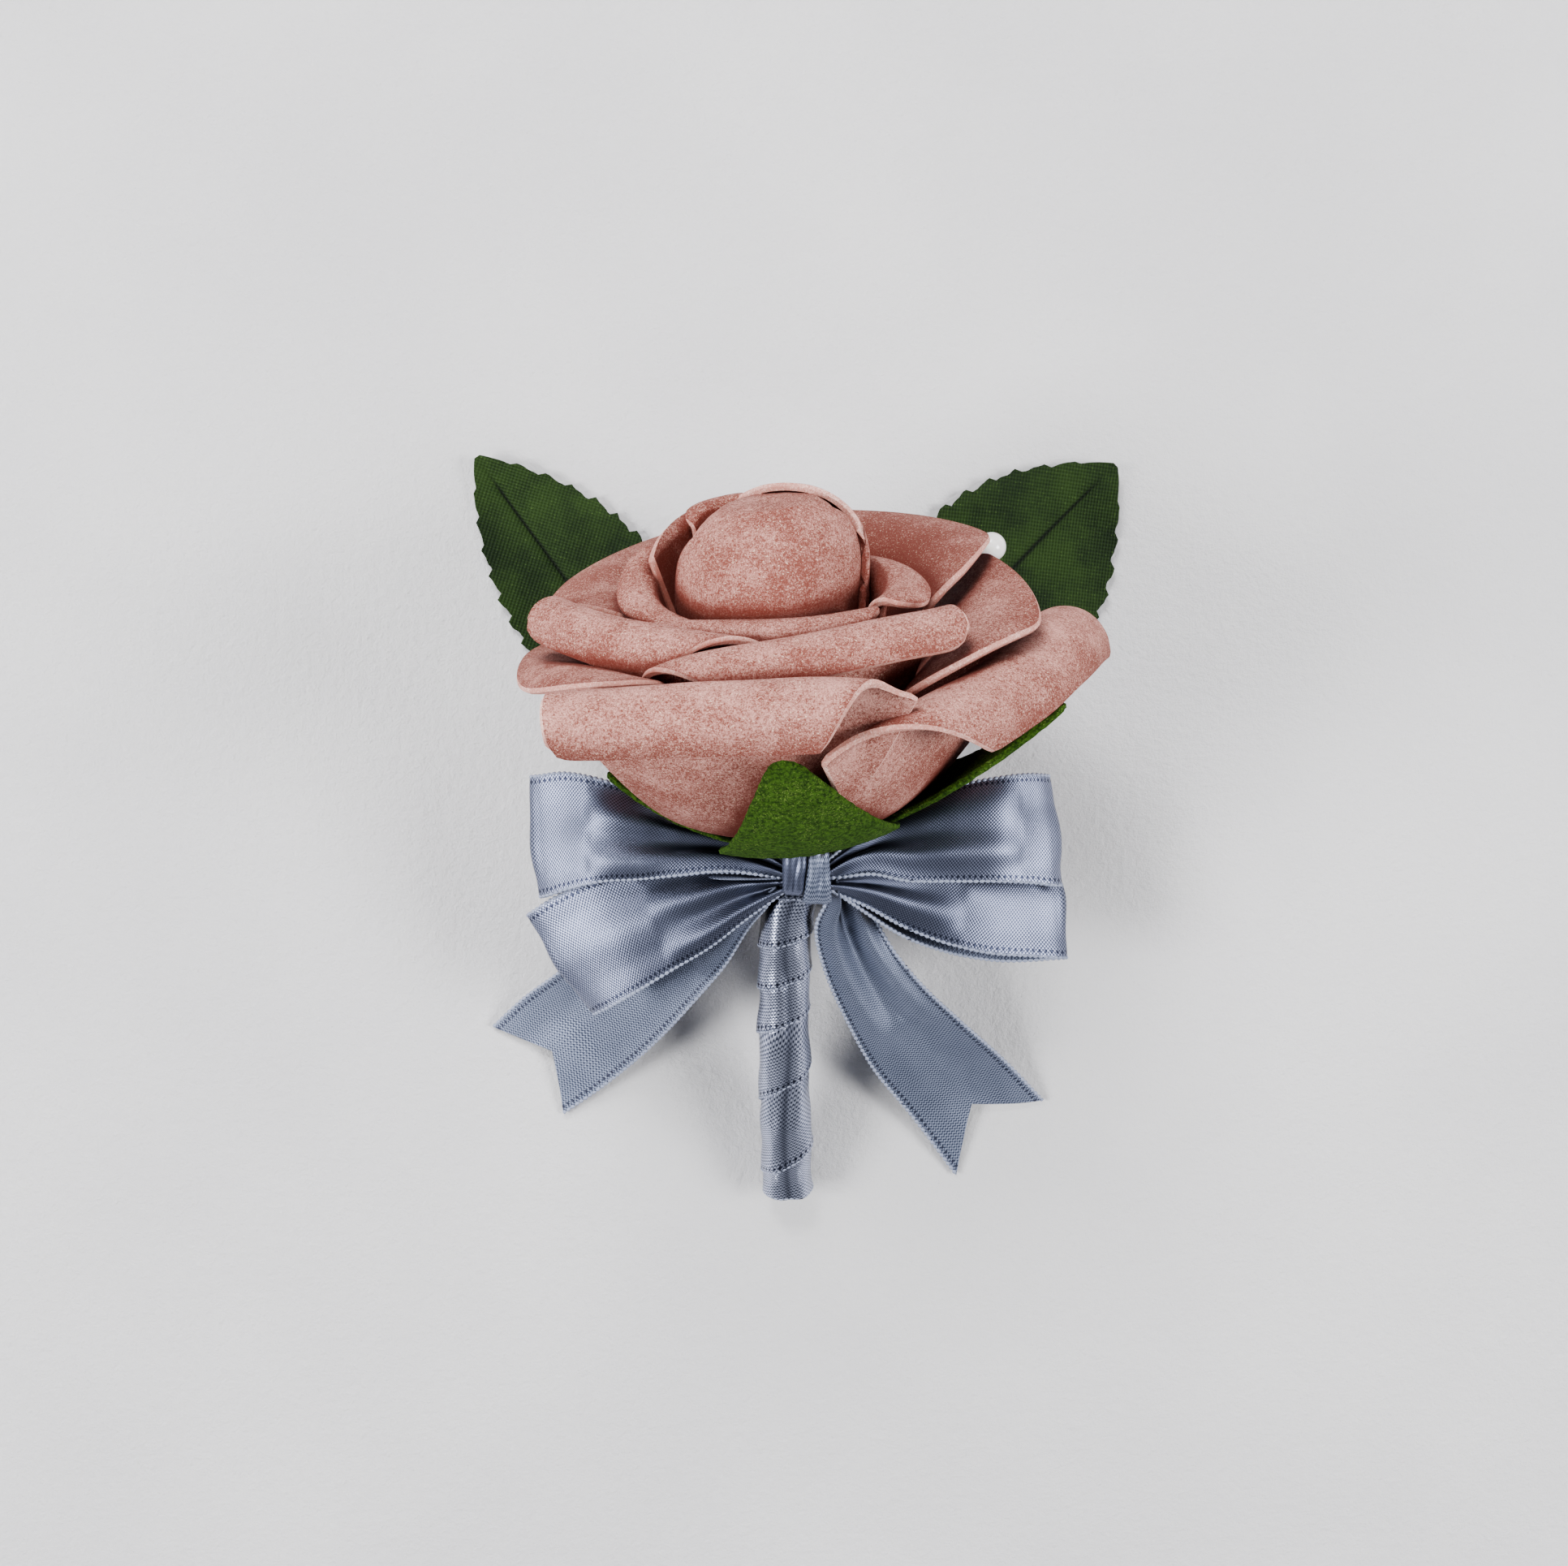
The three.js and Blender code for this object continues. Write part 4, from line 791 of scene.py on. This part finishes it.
def leaf_rows(leaf):
    """A grid of points over the blade, its map in millimetres and how near each is to a vein."""
    line, run = evenly(spline(leaf["blade"], even_shares(200)), LEAF_TEETH["count"] * LEAF_TEETH["fine"])
    ways = np.gradient(line, axis=0)
    points, maps, veins = [], [], []
    for v in LEAF_COLUMNS:
        row, map_row, vein_row = [], [], []
        for j, place in enumerate(line):
            t = j / (len(line) - 1)
            way = Vector(ways[j]).normalized()
            aside = way.cross(Vector((0, 0, 1))).normalized()
            half = leaf["half"][0 if v < 0 else 1] * 4 * t * (1 - t) + 0.4
            saw = (j % LEAF_TEETH["fine"]) / LEAF_TEETH["fine"]
            ragged = 0.35 * noise.noise(Vector((j * 0.37, v * 3, leaf["half"][0])))
            tooth = (LEAF_TEETH["depth"] * saw ** 1.4 + ragged) * (1 - t ** 10) * max(abs(v) - 0.8, 0) / 0.2
            reach = abs(v) * half + tooth
            side_vein = abs(((run[j] - VEINS["slant"] * reach) / VEINS["pitch"]) % 1.0 - 0.5) * 2
            from_vein = (1 - side_vein) * VEINS["pitch"] / VEINS["width"]
            faint = VEINS["faint"] * math.exp(-from_vein ** 2) * min(reach / 2, 1)
            groove = math.exp(-(reach / VEINS["midrib"]) ** 2) * (0.25 + 0.75 * min(t * 3, 1))
            groove *= min((1 - t) * 9, 1)
            point = Vector(place) + aside * math.copysign(reach, v)
            wavy = 0.75 * noise.noise(Vector((reach * math.copysign(0.11, v), run[j] * 0.1, 3.7)))
            point.z += max(wavy * min(reach / 4, 1), -0.15) + 0.05 * reach * abs(v) - VEINS["groove"] * groove
            row.append(point)
            map_row.append((math.copysign(reach, v), run[j]))
            vein_row.append(groove + faint)
        points.append(row)
        maps.append(map_row)
        veins.append(vein_row)
    return np.array([[tuple(p) for p in row] for row in points]), np.array(maps), np.array(veins)


def stalk_rows(leaf):
    """A thin tube from the winding to under the blade's foot."""
    line, run = evenly(spline((*leaf["stalk"], *leaf["blade"][:2]), even_shares(120)), 60)
    ways = np.gradient(line, axis=0)
    rows, maps = [], []
    for angle in round_about(14):
        row = []
        for place, way in zip(line, ways):
            side = Vector(way).cross(Vector((0, 0, 1))).normalized()
            up = side.cross(Vector(way).normalized())
            row.append(tuple(Vector(place) + STALK["radius"] * (side * math.cos(angle) + up * math.sin(angle))
                             - Vector((0, 0, STALK["under"]))))
        rows.append(row[:STALK["kept"]])
        maps.append([(angle * STALK["radius"], r) for r in run[:STALK["kept"]]])
    return np.array(rows), np.array(maps)


for leaf_name, leaf in LEAVES.items():
    rows, maps, veins = leaf_rows(leaf)
    rows[:, :, 2] = np.maximum(rows[:, :, 2], LEAF_THICK / 2)
    blade = sheet_mesh(leaf_name + "_blade", rows, LEAF_THICK, maps=maps, depth=veins)
    rows, maps = stalk_rows(leaf)
    stalk = sheet_mesh(leaf_name + "_stalk", rows, STALK["wall"], maps=maps, depth=np.zeros(rows.shape[:2]))
    for piece in (blade, stalk):
        place_in_model(piece, "silk_leaf", leaf_name, leaf_cloth, leaf_cloth, leaf_cloth)

# ---------------------------------------------------------------- bow
# One length of 16 mm satin ribbon, folded into four loops and two tails with swallow-tail ends
# and gathered at the middle. Each stretch is given by the places of its two edges.
RIBBON = {"width": 15.9, "thick": 0.28, "across": 36, "pleats": 2, "drawn": 0.66, "uneven": 0.06,
          "least": 0.3}
LOOPS = {
    "upper_left": (
        ((-1.2, -4.2, 28.7), (-1.2, -6.3, 28.6)), ((-8.6, 0, 22.4), (-8.9, -5.1, 28)),
        ((-14, 1.8, 21.2), (-16, -5.8, 26.6)), ((-19.8, 4.4, 23.2), (-21, -6.5, 25.4)),
        ((-25.6, 6.4, 24), (-26, -6.9, 24.6)), ((-31, 7.4, 22), (-30.5, -8, 22.6)),
        ((-34.8, 7, 20.2), (-33.6, -9, 20.6)), ((-35.9, 6.9, 19), (-34.6, -9.2, 19.2)),
        ((-34.6, 6.9, 17.9), (-33.4, -9, 18)), ((-27, 5.6, 18.2), (-26, -6.5, 18.6)),
        ((-14, 3, 18.2), (-14, -5, 22.2)), ((-1.2, -4, 27.9), (-1.2, -5.9, 27.7))),
    "lower_left": (
        ((-1.2, -6.2, 28.2), (-1.2, -7.8, 27.7)), ((-8.5, -4.9, 24.4), (-6.5, -11.6, 25.4)),
        ((-15, -5, 23), (-11.5, -15.6, 23.8)), ((-21.5, -5.4, 21.8), (-16.5, -18.7, 22.4)),
        ((-28, -7.2, 20.8), (-21.5, -21.8, 21.4)), ((-33, -9.6, 19.2), (-25, -23.9, 19.8)),
        ((-35.8, -11.4, 17.8), (-26.9, -24.9, 18)), ((-36.5, -11.9, 16.8), (-27.5, -25.3, 16.6)),
        ((-35.4, -11.5, 15.6), (-26.6, -24.8, 15.4)), ((-27, -8, 16.4), (-20, -20, 16.4)),
        ((-14, -6, 21), (-10.5, -13.5, 21.8)), ((-1.2, -6.1, 27.5), (-1.2, -7.5, 27))),
    "upper_right": (
        ((3.6, -4.2, 28.7), (3.6, -6.3, 28.6)), ((10.6, 0.6, 22.6), (9.5, -5.3, 28)),
        ((16, 3.4, 21.6), (15, -6.5, 26.6)), ((21.6, 5.8, 23.4), (20.5, -6.8, 25.4)),
        ((27.7, 6.9, 23.8), (27, -6.9, 24.6)), ((31.2, 7.2, 22.2), (31.6, -7.2, 22.6)),
        ((33.3, 7.1, 20.6), (34.8, -7.6, 20.9)), ((34, 7, 19.2), (35.6, -7.6, 19.4)),
        ((32.8, 7, 17.9), (34.2, -7.6, 18.2)), ((25, 5.6, 18.2), (26, -6, 18.8)),
        ((14, 3, 18.2), (15, -5.4, 22)), ((3.6, -4, 27.9), (3.6, -5.9, 27.7))),
    "lower_right": (
        ((3.6, -6.0, 28.2), (3.6, -7.6, 27.8)), ((10, -4.2, 23.2), (9.5, -10, 25)),
        ((16, -2.8, 20.6), (14.5, -12.9, 22.8)), ((22, -1.9, 19.2), (20, -15.2, 21.8)),
        ((27.6, -1.8, 17.9), (26, -16.7, 20.6)), ((31.6, -1.9, 16.8), (31.6, -17.2, 18.8)),
        ((34.2, -2, 15.7), (35.8, -17.6, 16.9)), ((35, -2, 14.7), (36.8, -17.7, 15.6)),
        ((34, -2, 13.7), (35.6, -17.9, 14.4)), ((27, -2.4, 14.2), (27, -18.1, 15)),
        ((15, -4, 18), (15, -15, 19.2)), ((3.6, -5.6, 27.3), (3.6, -7.5, 26.8))),
}
TAILS = {
    "left": (
        ((-2.4, -6.4, 27.4), (-2.4, -7.8, 27.1)), ((-6, -7.6, 23.4), (-4.6, -10.6, 24.2)),
        ((-10, -8.8, 19.4), (-6.8, -13.4, 20.4)), ((-19, -11.4, 14.8), (-9.8, -18.6, 16.6)),
        ((-26.5, -15, 10.4), (-14, -23.8, 12.4)), ((-33.1, -20.4, 5.8), (-20.4, -30.8, 6.8)),
        ((-38.9, -24.7, 2.4), (-27.4, -36.9, 2.4)), ((-43.2, -28.7, 0.6), (-33.2, -41, 0.6))),
    "right": (
        ((4.8, -7.6, 27.1), (4.8, -6.2, 27.4)), ((4.4, -10, 25), (8, -8.6, 22.8)),
        ((2.9, -13.5, 22.4), (11, -12.8, 18.8)), ((3.9, -19.4, 17.6), (13.8, -17.7, 16.4)),
        ((7.2, -27.2, 11.8), (18.3, -23, 12.2)), ((11, -34.1, 6.8), (24.5, -28.6, 7.4)),
        ((16.7, -41.4, 2.6), (29.9, -33.6, 3.4)), ((22.9, -49.8, 0.6), (35.2, -39.2, 0.6))),
}
# for each kind: its stretches, how finely they are divided, how far they are crowned, how deep the
# end is notched, and how much shade is painted on it near the tie
KINDS = {"loop": (LOOPS, 120, 1.0, 0, 1.12), "tail": (TAILS, 90, -0.8, 0.1, 1)}
# how fast that painted shade fades along the ribbon
SHADE_FADE = {"upper_left": 2.4, "lower_left": 2.4, "upper_right": 2.4, "lower_right": 1.8,
        "left": 2.6, "right": 2.6}
FOLD_DEPTH = 0.55
# soft folds that run out from the tie: where across the ribbon, how deep, how wide and how far
FOLDS = {
    "upper_left": ((0.3, -0.8, 0.16, 0.22), (0.62, 0.9, 0.16, 0.3), (0.86, -0.7, 0.1, 0.26)),
    "lower_left": ((0.22, -2.0, 0.13, 0.2), (0.5, 1.1, 0.14, 0.24), (0.78, -0.8, 0.1, 0.2)),
    "upper_right": ((0.25, -1.0, 0.12, 0.25), (0.55, 0.9, 0.16, 0.24), (0.84, -0.9, 0.1, 0.3)),
    "lower_right": ((0.2, -1.2, 0.12, 0.32), (0.48, 1.2, 0.14, 0.3), (0.8, -0.8, 0.12, 0.24)),
    "left": ((0.3, -0.9, 0.14, 0.5), (0.7, 0.7, 0.14, 0.4)),
    "right": ((0.28, 0.6, 0.12, 0.5), (0.6, -1.5, 0.2, 0.55)),
}


def ribbon_rows(name, stations, along, crown, notch):
    """A grid over a stretch of ribbon from edge to edge, its map in millimetres, how far along it
    each line is from the tie, and its length. It is pleated wherever it is drawn in, so that the
    cloth keeps its width."""
    shares = np.array(even_shares(along))
    middle = spline([(Vector(a) + Vector(b)) / 2 for a, b in stations], shares)
    run = np.concatenate([[0], np.cumsum([(b - a).length for a, b in zip(middle, middle[1:])])])
    across = np.array(even_shares(RIBBON["across"]))
    rows = []
    for v in across:
        cut = 1 - notch * (1 - abs(2 * v - 1))
        edges = [spline([station[side] for station in stations], shares * cut) for side in (0, 1)]
        rows.append([tuple(first.lerp(second, v)) for first, second in zip(*edges)])
    rows = np.array(rows)
    outward = np.cross(np.gradient(rows, axis=0), np.gradient(rows, axis=1))
    outward /= np.maximum(np.linalg.norm(outward, axis=2, keepdims=True), 1e-9)
    if outward[len(across) // 2, along // 6, 2] < 0:
        outward = -outward
    gap = np.linalg.norm(rows[-1] - rows[0], axis=1)
    pleat = gap / (math.pi * RIBBON["pleats"]) * np.sqrt(np.maximum(RIBBON["width"] / gap - 1.12, 0))
    near = shares if notch else np.minimum(shares, 1 - shares)
    lift = np.zeros(rows.shape[:2])
    for i, v in enumerate(across):
        lift[i] = crown * np.sin((1 if notch else 2) * math.pi * shares) ** 2 * (1 - (2 * v - 1) ** 2)
        lift[i] += RIBBON["drawn"] * pleat * math.sin(2 * math.pi * RIBBON["pleats"] * v + len(name))
        for at, deep, wide, far in FOLDS[name]:
            reach = (near / far) ** 0.6 * np.exp(1 - near / far * 1.6)
            lift[i] += FOLD_DEPTH * deep * reach * math.exp(-((v - at) / wide) ** 2)
        wander = [noise.noise(Vector((v * 2.2, distance / 9, len(name)))) for distance in run]
        lift[i] += RIBBON["uneven"] * np.array(wander)
    rows = rows + outward * lift[:, :, None]
    maps = np.array([[(v * RIBBON["width"], distance * (1 - notch * (1 - abs(2 * v - 1))))
                      for distance in run] for v in across])
    corner = rows[0, along // 6]
    if np.cross(rows[1, along // 6] - corner, rows[0, along // 6 + 1] - corner)[2] < 0:
        rows, maps = rows[::-1], maps[::-1]
    return rows, maps, near, run[-1]


picot_lines = []
for kind, (stretches, along, crown, notch, dark) in KINDS.items():
    for name, stations in stretches.items():
        rows, maps, near, length = ribbon_rows(name, stations, along, crown, notch)
        rows[:, :, 2] = np.maximum(rows[:, :, 2], RIBBON["least"])
        # the depth is painted shade, darkest at the tie and fading outward
        ribbon = sheet_mesh(f"bow_{kind}_{name}", rows, RIBBON["thick"], maps=maps,
                            depth=np.tile(np.clip(dark - near * SHADE_FADE[name], 0, 1), (len(rows), 1)))
        up, down = (satin_face, satin_reverse) if kind == "loop" else (satin_reverse, satin_face)
        place_in_model(ribbon, "satin", "bow_ribbon", up, down, picot)
        length * MM
        picot_lines += [[Vector(p) for p in rows[side]] for side in (0, -1)]
picot_piece("bow_edge", picot_lines, PICOT["bow_radius"], PICOT["bow_pitch"], replaced="bow_ribbon")

# ---------------------------------------------------------------- tie
# A short length of the same ribbon, drawn twice round the middle of the bow and once round the
# stem behind it. The left strand shows its face and the right one, laid over it, its reverse.
TIE = {"along": 53.4, "above": 6.2, "aside": -0.4, "out": 1.9, "thick": 0.35, "crown": 0.6, "sunk": 0.35,
       "crease": 0.3}
# for each strand: its two sides at the bottom and at the top, and its half length and drop
TIE_STRANDS = {"left": {"bottom": (-2.9, -0.55), "top": (-2.7, 0.6), "half": 3.6, "drop": 0.3},
               "right": {"bottom": (-0.4, 3.2), "top": (0.85, 3.0), "half": 4.3, "drop": 0.9}}
TIE_RING = {"from": 48.5, "to": 51.8, "radius": 4.25, "map": 41}


def strand_rows(strand):
    """A grid round one strand, crowned from side to side and creased along its length."""
    place, _, _, onward = stem_at(TIE["along"])
    across = Vector((1, 0, 0))
    over = across.cross(onward).normalized()
    middle = place + over * TIE["above"] + across * TIE["aside"] - onward * strand["drop"]
    rows, maps = [], []
    for share in even_shares(26):
        crown = TIE["crown"] * (1 - (2 * share - 1) ** 6) - TIE["sunk"]
        row, map_row = [], []
        for turn in round_about(80):
            c, s = math.cos(turn), math.sin(turn)
            size = (abs(c) ** 3 + abs(s) ** 3) ** (-1 / 3)
            low, high = (lerp(strand["bottom"][side], strand["top"][side], (s + 1) / 2) for side in (0, 1))
            crease = TIE["crease"] * (noise.noise(Vector((share * 2, c * 1.2, s * 1.7 + strand["half"])))
                                      - math.exp(-((share - 0.55 - 0.12 * s) / 0.12) ** 2))
            row.append(tuple(middle + across * lerp(low, high, share) + over * (TIE["out"] + crown + crease)
                             * size * c + onward * (strand["half"] + 0.5 * crown) * size * s))
            map_row.append((4 + 8 * share, turn * 2.8))
        rows.append(row)
        maps.append(map_row)
    return np.array(rows), np.array(maps)


def tie_ring_rows():
    """A grid round the stem, for the turn that holds the bow to it."""
    rows, maps = [], []
    for distance in even_shares(16, TIE_RING["from"], TIE_RING["to"]):
        place, across, over, onward = stem_at(distance)
        rows.append([tuple(place + TIE_RING["radius"] * (across * math.cos(a) + over * math.sin(a)))
                     for a in round_about(60)])
        maps.append([(distance - TIE_RING["map"], a * TIE_RING["radius"]) for a in round_about(60)])
    return np.array(rows), np.array(maps)


# the tie's left strand gets the darker copy of the satin face as painted shade
for name, (rows, maps), finish in (("tie_strand_left", strand_rows(TIE_STRANDS["left"]), satin_shaded),
                                   ("tie_strand_right", strand_rows(TIE_STRANDS["right"]), satin_reverse),
                                   ("tie_round_stem", tie_ring_rows(), satin_face)):
    band = sheet_mesh(name, rows, TIE["thick"], maps=maps)
    place_in_model(band, "satin", "bow_tie", finish, finish, picot)

# ---------------------------------------------------------------- pin
# A steel corsage pin with a pearl-finished bead for its head, pushed through the back of the
# rose. The bead is moulded in two halves, with a small collar where the shaft enters.
PIN_HEAD = Vector((27.2, 39, 9))
PIN_POINT = Vector((3.6, -4.4, 15.9))
PEARL = {"radius": 2.05, "around": 64, "seam": 0.012, "seam_width": 0.04, "open": 0.32}
PEARL_COLLAR = [(0.62, 2.02), (0.6, 2.2), (0.5, 2.3), (0.42, 2.3)]

pearl_coat, tree, shader = new_finish("pearl_coat", Roughness=0.22, Coat_Weight=0.6, Coat_Roughness=0.08,
                                      Subsurface_Weight=0.15, Subsurface_Scale=0.001)
lustre = grain(tree, 1.6, 3, 0.5).between(0.3, 0.7).blend(colour(236, 232, 230), colour(250, 248, 246))
set_inputs(tree, shader, Base_Color=lustre, Normal=bumps(tree, grain(tree, 0.5, 2), 0.004))
pin_steel, tree, shader = new_finish("pin_steel", Metallic=1.0)
set_inputs(tree, shader, Base_Color=grain(tree, 1.5, 2).blend(colour(186, 188, 192), colour(206, 208, 212)),
           Roughness=grain(tree, 0.5, 2) * 0.15 + 0.22)


def pearl_radius(turn):
    """The bead's radius, with the fine raised line where its halves meet."""
    seam = math.exp(-((turn - math.pi / 2) / PEARL["seam_width"]) ** 2)
    return PEARL["radius"] * math.sin(turn) + PEARL["seam"] * seam


way = (PIN_POINT - PIN_HEAD).normalized()
side = way.orthogonal().normalized()
over = way.cross(side)
outline = [(pearl_radius(a), -PEARL["radius"] * math.cos(a))
           for a in even_shares(48, 0.0, math.pi - PEARL["open"])] + PEARL_COLLAR
places = [PIN_HEAD + way * up + (side * math.cos(turn) + over * math.sin(turn)) * radius
          for turn in round_about(PEARL["around"])[:-1] for radius, up in outline]
faces = []
for n in range(PEARL["around"]):
    here, there = n * len(outline), (n + 1) % PEARL["around"] * len(outline)
    faces += [(here + k, there + k, there + k + 1, here + k + 1) for k in range(len(outline) - 1)]
place_in_model(add_mesh("pearl_head", places, faces), "pearl", "pin_pearl", pearl_coat)
refinish("pin_shaft", pin_steel)

# ---------------------------------------------------------------- hollows, where shade is painted
# Shade is painted where pieces close on each other. The space round the parts is divided into
# one-millimetre cells, and each point keeps how full the cells in front of it are.
CELL = 1.0
MARGIN = 20
# how far out from a point the space is looked at, and how many cells round about are averaged
HOLLOW_STEPS = ((1.6, 0), (3.0, 1), (5.5, 2), (9.0, 4))


def local_mean(field, reach):
    """The field with each cell given the mean of the cells within that reach along each axis."""
    for axis in range(3):
        pads = [(reach + 1, reach) if k == axis else (0, 0) for k in range(3)]
        total = np.moveaxis(np.cumsum(np.pad(field, pads), axis=axis), axis, 0)
        width = 2 * reach + 1
        field = np.moveaxis((total[width:] - total[:-width]) / width, 0, axis)
    return field


def triples(source, key):
    values = np.empty(len(source) * 3)
    source.foreach_get(key, values)
    return values.reshape(-1, 3)


def paint_hollow_shade(pieces):
    """Give each point of the pieces how full the space is at a few steps out from it, for the painted shade.
    """
    lowest = np.array(cad_box[0]) / MM - MARGIN
    size = ((np.array(cad_box[1]) / MM + MARGIN - lowest) / CELL).astype(int) + 1
    full = np.zeros(size)
    full[:, :, :int(-lowest[2] / CELL)] = 1.0
    places, facings = {}, {}
    for piece in pieces:
        mesh = piece.data
        points, facing, middles = (triples(source, key) for source, key in (
            (mesh.vertices, "co"), (mesh.vertex_normals, "vector"), (mesh.polygons, "center")))
        places[piece.name], facings[piece.name] = points / MM, facing
        solid = np.concatenate([places[piece.name], middles / MM])
        cells = ((solid - lowest) / CELL).astype(int)
        full[tuple(cells.T)] = 1.0
    fields = {reach: local_mean(full, reach) if reach else full for _, reach in HOLLOW_STEPS}
    for piece in pieces:
        hollow_shade = 0
        for step, reach in HOLLOW_STEPS:
            at = (places[piece.name] + facings[piece.name] * step - lowest) / CELL - 0.5
            base = np.clip(np.floor(at).astype(int), 0, size - 2)
            part = np.clip(at - base, 0, 1)
            for corner in np.ndindex(2, 2, 2):
                share = np.prod(np.where(corner, part, 1 - part), axis=1)
                hollow_shade = hollow_shade + share * fields[reach][tuple((base + corner).T)] / len(HOLLOW_STEPS)
        kept = piece.data.attributes.new("hollow_shade", "FLOAT", "POINT")
        kept.data.foreach_set("value", hollow_shade.astype(np.float32))


paint_hollow_shade(sheets)
